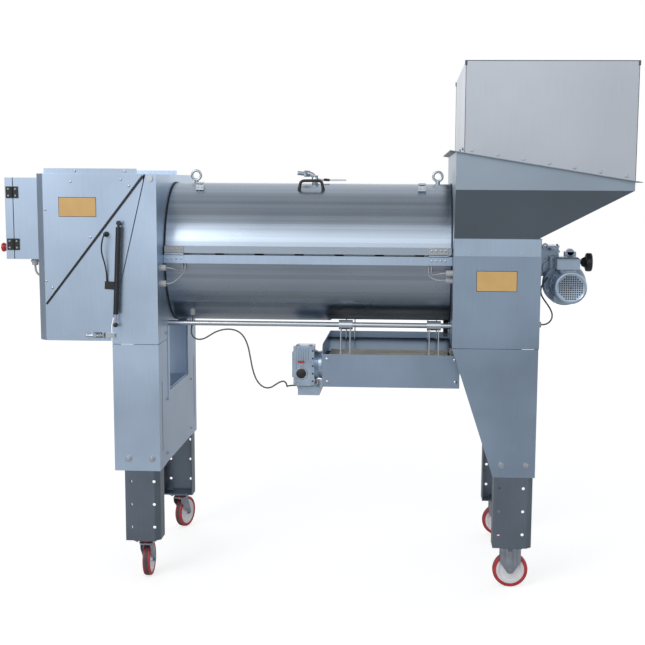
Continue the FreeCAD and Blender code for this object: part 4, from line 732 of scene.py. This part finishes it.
def control_furniture():
    """Black hinges with their screws, the door gasket, the stop button and the cable gland."""
    low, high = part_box("control_box_door")
    front = -0.33
    pin_x, pin_y = JOINTS["control_door_hinge"]["pos_m"][:2]
    for body, near, far in (("hood", pin_x + 0.005, pin_x + 0.025),
                            ("control_door", pin_x - 0.027, pin_x - 0.005)):
        hinge = bmesh.new()
        heads = bmesh.new()
        for start in (1.416, 1.636):
            block(hinge, (near, front - 0.0062, start - 0.0005), (far, front, start + 0.0485))
            spans = ((0, 0.016), (0.032, 0.016)) if body == "hood" else ((0.0163, 0.0154),)
            for offset, length in spans:
                rod(hinge, (pin_x, pin_y, start + offset), Z, 0.0053, length, 24, 0.0005)
            for dz in (0.01, 0.038):
                screw(heads, ((near + far) / 2, front - 0.0062, start + dz), -Y, 0.0042)
        finish(hinge, f"box_hinges_{body}", black_plastic, body, 0.001)
        finish(heads, f"box_hinge_screws_{body}", grey_plastic, body, 0)
    seal = bmesh.new()
    block(seal, (-1.2588, front - 0.0004, low.z + 0.0006), (-1.2556, -0.01, high.z - 0.0006))
    finish(seal, "box_gasket", black_rubber, "hood", 0)
    button_low, button_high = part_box("emergency_stop")
    middle = (button_low + button_high) / 2
    button = bmesh.new()
    lathe(button, (button_low.x, middle.y, middle.z), X,
          ((0, 0), (0.011, 0.0006), (0.017, 0.003), (0.0195, 0.007), (0.02, 0.0105), (0.019, 0.014),
           (0.016, 0.0185), (0.0135, 0.025), (0.0125, 0.03), (0.006, 0.0305), (0.0058, 0.053),
           (0, 0.053)), 48)
    finish(button, "stop_button_head", red_plastic, "stop_button", 0, ("emergency_stop",))
    collar = bmesh.new()
    lathe(collar, (low.x - 0.0005, middle.y, middle.z), X,
          ((0.0064, 0), (0.016, 0), (0.0172, 0.002), (0.0172, 0.0122), (0.0064, 0.0122)), 40, True)
    finish(collar, "stop_button_collar", grey_plastic, "control_door", 0)
    nut = bmesh.new()
    lathe(nut, (-1.178, -0.3, 1.3505), Z,
          ((0.0048, 0), (0.0105, 0), (0.0135, 0.003), (0.0135, 0.012), (0.0175, 0.0125), (0.0175, 0.0225),
           (0.0135, 0.023), (0.0135, 0.0268), (0.0048, 0.0268)), 24, True)
    finish(nut, "box_gland", grey_plastic, "hood", 0)


def strut_ends():
    """Ball sockets at both ends of the gas struts."""
    for body, reach, x, y, z in (("strut_cylinders", 0.0105, -0.77, 0.47, 1.538),
                                 ("strut_rods", 0.01, -0.791, 0.4745, 1.116)):
        socket = bmesh.new()
        for at, way in on_both_sides(y, (x, z)):
            lathe(socket, at, way,
                  ((0, 0), (reach * 0.9, 0), (reach, 0.002), (reach, 0.01), (reach * 0.8, 0.0145),
                   (0, 0.0165)), 32)
        finish(socket, f"{body}_sockets", black_plastic, body, 0)


# ---- frame
def rim_z(x):
    """Height of the hopper's sloping rim."""
    return 1.8335 - 0.1596 * (x - 0.61)


def frame_trim():
    """Bolts, screws, seams, collar bands, lining and plain label plate of the frame; the trough's bolts."""
    hopper_left, hopper_right, hopper_y = 0.642, 1.318, 0.55    # outside of the hopper's upper walls
    heads = bmesh.new()
    for at, way in on_both_sides(0.459, (-0.753, 0.541), (-0.653, 0.541), (0.824, 0.541), (0.926, 0.541)):
        lathe(heads, at, way, ((0, 0), (0.009, 0), (0.009, 0.0065), (0.0078, 0.008), (0, 0.008)), 6)
        rod(heads, Vector(at) - Vector(way) * 0.009, way, 0.0125, 0.01, 32)
    for at, way in on_both_sides(0.448, (0.677, 1.427), (0.888, 1.427)):
        screw(heads, at, way, 0.0055)
    for z in (0.532, 0.77, 1.06):
        for y in (-0.283, 0.283):
            bolt(heads, (-0.621, y, z), -X, 0.0055)
            bolt(heads, (-0.615, y, z), X, 0.0055)
    for step in range(7):
        x = 0.672 + 0.102 * step
        for at, way in on_both_sides(hopper_y, (x, rim_z(x) + 0.016)):
            bolt(heads, at, way, 0.006)
    for y in (-0.42, -0.14, 0.14, 0.42):
        bolt(heads, (hopper_right, y, 1.745), X, 0.006)
        bolt(heads, (hopper_left, y, 1.848), -X, 0.006)
    finish(heads, "frame_bolts", bolt_steel, "frame", 0.0003)
    seams = bmesh.new()
    for x in (hopper_left, hopper_right):
        for y in (-hopper_y, hopper_y):
            block(seams, (x - 0.0012, y - 0.0012, rim_z(x) + 0.001), (x + 0.0012, y + 0.0012, 2.189))
            rod(seams, (x, y, 2.17), Z, 0.0045, 0.0195, 20)
    for y in (-hopper_y, hopper_y):
        block(seams, (hopper_left, y - 0.001, 2.1865), (hopper_right, y + 0.001, 2.1892))
    finish(seams, "extension_seams", dark_steel, "frame", 0.0003)
    collar = bmesh.new()
    for side in (-1, 1):
        panel(collar, 0.612, 0.966, 1.4135, 1.484, side * 0.45, side * 0.0008)
    finish(collar, "collar_bands", sheet_steel, "frame", 0.0003)
    label_plate("housing_plate", "frame", 0.705, 0.872, 1.269, 1.354, -0.45)
    lining = bmesh.new()
    lining_left, lining_right, lining_z = -0.775, -0.6225, 0.8065
    block(lining, (lining_left, -0.22, lining_z - 0.003), (lining_right, 0.22, lining_z))
    for y in (-0.2215, 0.2215):
        block(lining, (lining_left, y - 0.0012, lining_z), (lining_right, y + 0.0012, 1.04))
    finish(lining, "window_lining", sheet_steel, "frame", 0)
    trough = bmesh.new()
    trough_y = 0.258
    for at, way in on_both_sides(trough_y, (0.078, 0.952), (0.08, 0.853), (0.629, 0.954), (0.633, 0.858)):
        screw(trough, at, way, 0.0075)
    screw(trough, (0.084, trough_y, 1.006), Y, 0.0075)
    finish(trough, "trough_bolts", bolt_steel, "crusher", 0)


# ---- cables
CRUSHER_CABLE = [
    (-0.52, -0.176, 1.13), (-0.52, -0.176, 1.111), (-0.521, -0.184, 1.091), (-0.522, -0.202, 1.073),
    (-0.519, -0.223, 1.056), (-0.51, -0.239, 1.041), (-0.492, -0.246, 1.03), (-0.468, -0.246, 1.03),
    (-0.444, -0.244, 1.041), (-0.41, -0.242, 1.064), (-0.368, -0.24, 1.076), (-0.325, -0.238, 1.074),
    (-0.29, -0.236, 1.052), (-0.268, -0.236, 1.005), (-0.258, -0.236, 0.95), (-0.248, -0.232, 0.893),
    (-0.232, -0.222, 0.845), (-0.205, -0.208, 0.815), (-0.176, -0.188, 0.81), (-0.15, -0.16, 0.826),
    (-0.13, -0.12, 0.832), (-0.12, -0.08, 0.82), (-0.118, -0.044, 0.802), (-0.12, -0.016, 0.789),
    (-0.122, 0.005, 0.786), (-0.118, 0.022, 0.786), (-0.108, 0.034, 0.786), (-0.093, 0.04, 0.786),
    (-0.076, 0.04, 0.786)]
MOTOR_CABLE = [
    (1.022, -0.178, 1.31), (1.022, -0.192, 1.31), (1.018, -0.208, 1.306), (1.009, -0.224, 1.297),
    (0.997, -0.242, 1.285), (0.988, -0.264, 1.269), (0.985, -0.29, 1.252), (0.99, -0.318, 1.236),
    (1.002, -0.345, 1.218), (1.016, -0.367, 1.198), (1.025, -0.381, 1.177), (1.026, -0.385, 1.16),
    (1.02, -0.385, 1.145), (1.009, -0.385, 1.134), (0.994, -0.385, 1.128), (0.98, -0.385, 1.128)]
HOOD_SWITCH_CABLE = [
    (-0.829, -0.47, 1.491), (-0.829, -0.482, 1.491), (-0.83, -0.494, 1.486), (-0.832, -0.502, 1.475),
    (-0.835, -0.504, 1.46), (-0.839, -0.5, 1.44), (-0.84, -0.492, 1.415), (-0.836, -0.48, 1.388),
    (-0.831, -0.47, 1.36), (-0.829, -0.463, 1.334), (-0.829, -0.458, 1.314), (-0.829, -0.458, 1.296)]
CONTROL_CABLE = [
    (-1.178, -0.3, 1.351), (-1.178, -0.3, 1.336), (-1.174, -0.3, 1.32), (-1.164, -0.3, 1.308),
    (-1.148, -0.3, 1.302), (-1.127, -0.3, 1.302)]
HINGE_CABLES = [
    [(-0.59, -0.408, 1.351), (-0.576, -0.408, 1.351), (-0.563, -0.401, 1.347), (-0.552, -0.387, 1.341),
     (-0.544, -0.367, 1.335), (-0.54, -0.346, 1.332), (-0.538, -0.328, 1.334), (-0.538, -0.316, 1.342),
     (-0.538, -0.311, 1.354), (-0.538, -0.311, 1.365)],
    [(-0.59, -0.408, 1.285), (-0.575, -0.408, 1.285), (-0.561, -0.404, 1.29), (-0.549, -0.393, 1.299),
     (-0.539, -0.376, 1.309), (-0.531, -0.355, 1.319), (-0.527, -0.334, 1.328), (-0.526, -0.318, 1.338),
     (-0.526, -0.311, 1.351), (-0.526, -0.311, 1.365)],
    [(0.581, -0.408, 1.339), (0.567, -0.408, 1.339), (0.554, -0.401, 1.336), (0.543, -0.387, 1.332),
     (0.533, -0.367, 1.329), (0.526, -0.347, 1.328), (0.522, -0.329, 1.332), (0.522, -0.316, 1.341),
     (0.522, -0.311, 1.353), (0.522, -0.311, 1.365)],
    [(0.581, -0.385, 1.308), (0.567, -0.385, 1.308), (0.553, -0.382, 1.308), (0.539, -0.373, 1.31),
     (0.526, -0.359, 1.314), (0.516, -0.342, 1.32), (0.511, -0.326, 1.329), (0.51, -0.315, 1.34),
     (0.51, -0.311, 1.353), (0.51, -0.311, 1.365)],
]


def cable(name, points, radius, material, body, replaces):
    """Smooth NURBS cable through its given route."""
    curve = bpy.data.curves.new(name, "CURVE")
    curve.dimensions = "3D"
    curve.bevel_depth = radius
    curve.bevel_resolution = 4
    curve.resolution_u = 8
    curve.use_fill_caps = True
    spline = curve.splines.new("NURBS")
    spline.points.add(len(points) - 1)
    for point, place in zip(spline.points, points):
        point.co = (*place, 1)
    spline.order_u = 3
    spline.use_endpoint_u = True
    return attach(name, curve, material, body, replaces)


def cables():
    """Every lead runs from one gland or housing into another."""
    leads = [("crusher_lead", CRUSHER_CABLE, 0.0035, cable_grey, "crusher", ("crusher_cable",), 0.933),
             ("motor_lead", MOTOR_CABLE, 0.0035, cable_grey, "frame", ("frame_cables",), 0.34),
             ("hood_switch_lead", HOOD_SWITCH_CABLE, 0.003, black_rubber, "hood", ("hood_cables",), 0.226),
             ("control_lead", CONTROL_CABLE, 0.0045, cable_pale, "hood", (), 0.084)]
    for index, (route, length) in enumerate(zip(HINGE_CABLES, (0.147, 0.165, 0.149, 0.144))):
        leads.append((f"hinge_lead_{index + 1}", route, 0.003, cable_pale, "frame", (), length))
    for name, route, radius, material, body, stands_for, length in leads:
        piece = cable(name, route, radius, material, body, stands_for)


# ---- camera, light and floor
def camera():
    """Long lens a little above the machine, from the operator's side."""
    turn, pitch, roll = math.radians(-2.99), math.radians(8.13), math.radians(-0.36)
    ahead = Vector((math.sin(turn) * math.cos(pitch), math.cos(turn) * math.cos(pitch), -math.sin(pitch)))
    right = Vector((math.cos(turn), -math.sin(turn), 0))
    down = ahead.cross(right)
    across = math.cos(roll) * right + math.sin(roll) * down
    below = -math.sin(roll) * right + math.cos(roll) * down
    lens = bpy.data.cameras.new("camera")
    lens.lens, lens.sensor_width, lens.clip_end = 69.2, 36, 200
    lens.shift_x, lens.shift_y = -0.0363, 0.0567
    seen = bpy.data.objects.new("camera", lens)
    bpy.context.collection.objects.link(seen)
    seen.matrix_world = Matrix.Translation((0.437, -5.559, 1.712)) @ Matrix(
        (across, -below, -ahead)).transposed().to_4x4()
    bpy.context.scene.camera = seen


def studio():
    """Soft room light, brighter at the operator's left and from above, behind a plain pale backdrop."""
    world = bpy.data.worlds.new("studio")
    world.use_nodes = True
    bpy.context.scene.world = world
    tree = world.node_tree
    nodes, links = tree.nodes, tree.links
    split = nodes.new("ShaderNodeSeparateXYZ")
    links.new(nodes.new("ShaderNodeTexCoord").outputs["Generated"], split.inputs["Vector"])

    def ramp(value, stops):
        node = nodes.new("ShaderNodeValToRGB")
        links.new(value, node.inputs["Fac"])
        bands = node.color_ramp.elements
        while len(bands) < len(stops):
            bands.new(0.5)
        for band, (place, level) in zip(bands, stops):
            band.position = place
            band.color = (level, level, level, 1)
        return node.outputs["Color"]

    def calc(*numbers):
        return math_node(world.node_tree, *numbers)

    height = calc("MULTIPLY_ADD", split.outputs["Z"], 0.5, 0.5)
    front = ramp(height, ((0.0, 0.1), (0.25, 0.16), (0.38, 0.17), (0.44, 0.26), (0.49, 0.47), (0.62, 0.66),
                          (0.74, 0.78), (0.84, 0.4), (0.92, 0.17), (1.0, 0.18)))
    back = ramp(height, ((0.0, 0.1), (0.4, 0.25), (0.5, 0.5), (0.535, 0.66), (0.6, 0.62), (0.7, 0.42),
                         (0.94, 0.3), (1.0, 0.18)))
    across = calc("MULTIPLY_ADD", split.outputs["X"], 0.5, 0.5)
    lean = ramp(across, ((0.0, 0.28), (0.1, 0.32), (0.3, 0.8), (0.4, 0.72), (0.5, 0.6), (0.62, 0.45),
                         (1.0, 0.35)))
    lean = calc("MULTIPLY", lean, 1.66)
    side = map_range(tree, split.outputs["Y"], 0.0, 1.0, -0.15, 0.15)
    side.node.interpolation_type = "SMOOTHSTEP"
    blend = nodes.new("ShaderNodeMix")
    blend.data_type = "FLOAT"
    links.new(side, blend.inputs["Factor"])
    links.new(calc("MULTIPLY", front, lean), blend.inputs[2])
    dim = ramp(across, ((0.0, 0.3), (0.14, 0.42), (0.3, 1.0), (1.0, 1.0)))
    links.new(calc("MULTIPLY", back, dim), blend.inputs[3])
    room = nodes["Background"]
    room.inputs["Color"].default_value = (0.97, 0.985, 1.0, 1)
    links.new(calc("MULTIPLY", blend.outputs[0], 2.0), room.inputs["Strength"])
    backdrop = nodes.new("ShaderNodeBackground")
    backdrop.inputs["Color"].default_value = (1, 1, 1, 1)
    choose = nodes.new("ShaderNodeMixShader")
    links.new(nodes.new("ShaderNodeLightPath").outputs["Is Camera Ray"], choose.inputs["Fac"])
    links.new(room.outputs["Background"], choose.inputs[1])
    links.new(backdrop.outputs["Background"], choose.inputs[2])
    links.new(choose.outputs["Shader"], nodes["World Output"].inputs["Surface"])

    light = bpy.data.lights.new("key", "AREA")
    light.shape = "RECTANGLE"
    light.size, light.size_y = 2.4, 1.6
    light.energy = 55
    lamp = bpy.data.objects.new("key", light)
    bpy.context.collection.objects.link(lamp)
    lamp.location = (-2.8, -4.6, 4.2)
    lamp.rotation_euler = (Vector((0, 0, 1.2)) - lamp.location).to_track_quat("-Z", "Y").to_euler()

    bpy.ops.mesh.primitive_plane_add(size=1, location=(0, 5.7, 0))
    floor = bpy.context.object
    floor.name = "floor"
    floor.scale = (40, 16, 1)
    paint = bpy.data.materials.new("floor_paint")
    paint.use_nodes = True
    tree = paint.node_tree
    surface = tree.nodes["Principled BSDF"]
    surface.inputs["Base Color"].default_value = (0.62, 0.62, 0.62, 1)
    surface.inputs["Roughness"].default_value = 0.8
    surface.inputs["Emission Color"].default_value = (1, 1, 1, 1)
    seen_directly = tree.nodes.new("ShaderNodeLightPath").outputs["Is Camera Ray"]
    tree.links.new(map_range(tree, seen_directly, 0.03, 0.62, 0.0, 1.0), surface.inputs["Emission Strength"])
    floor.data.materials.append(paint)
    bpy.context.scene.view_settings.view_transform = "Standard"


camera()
cables()
casters()
drive_unit()
crusher_unit()
door_furniture()
wash_fittings()
drum_trim()
hood_trim()
control_furniture()
strut_ends()
frame_trim()
studio()
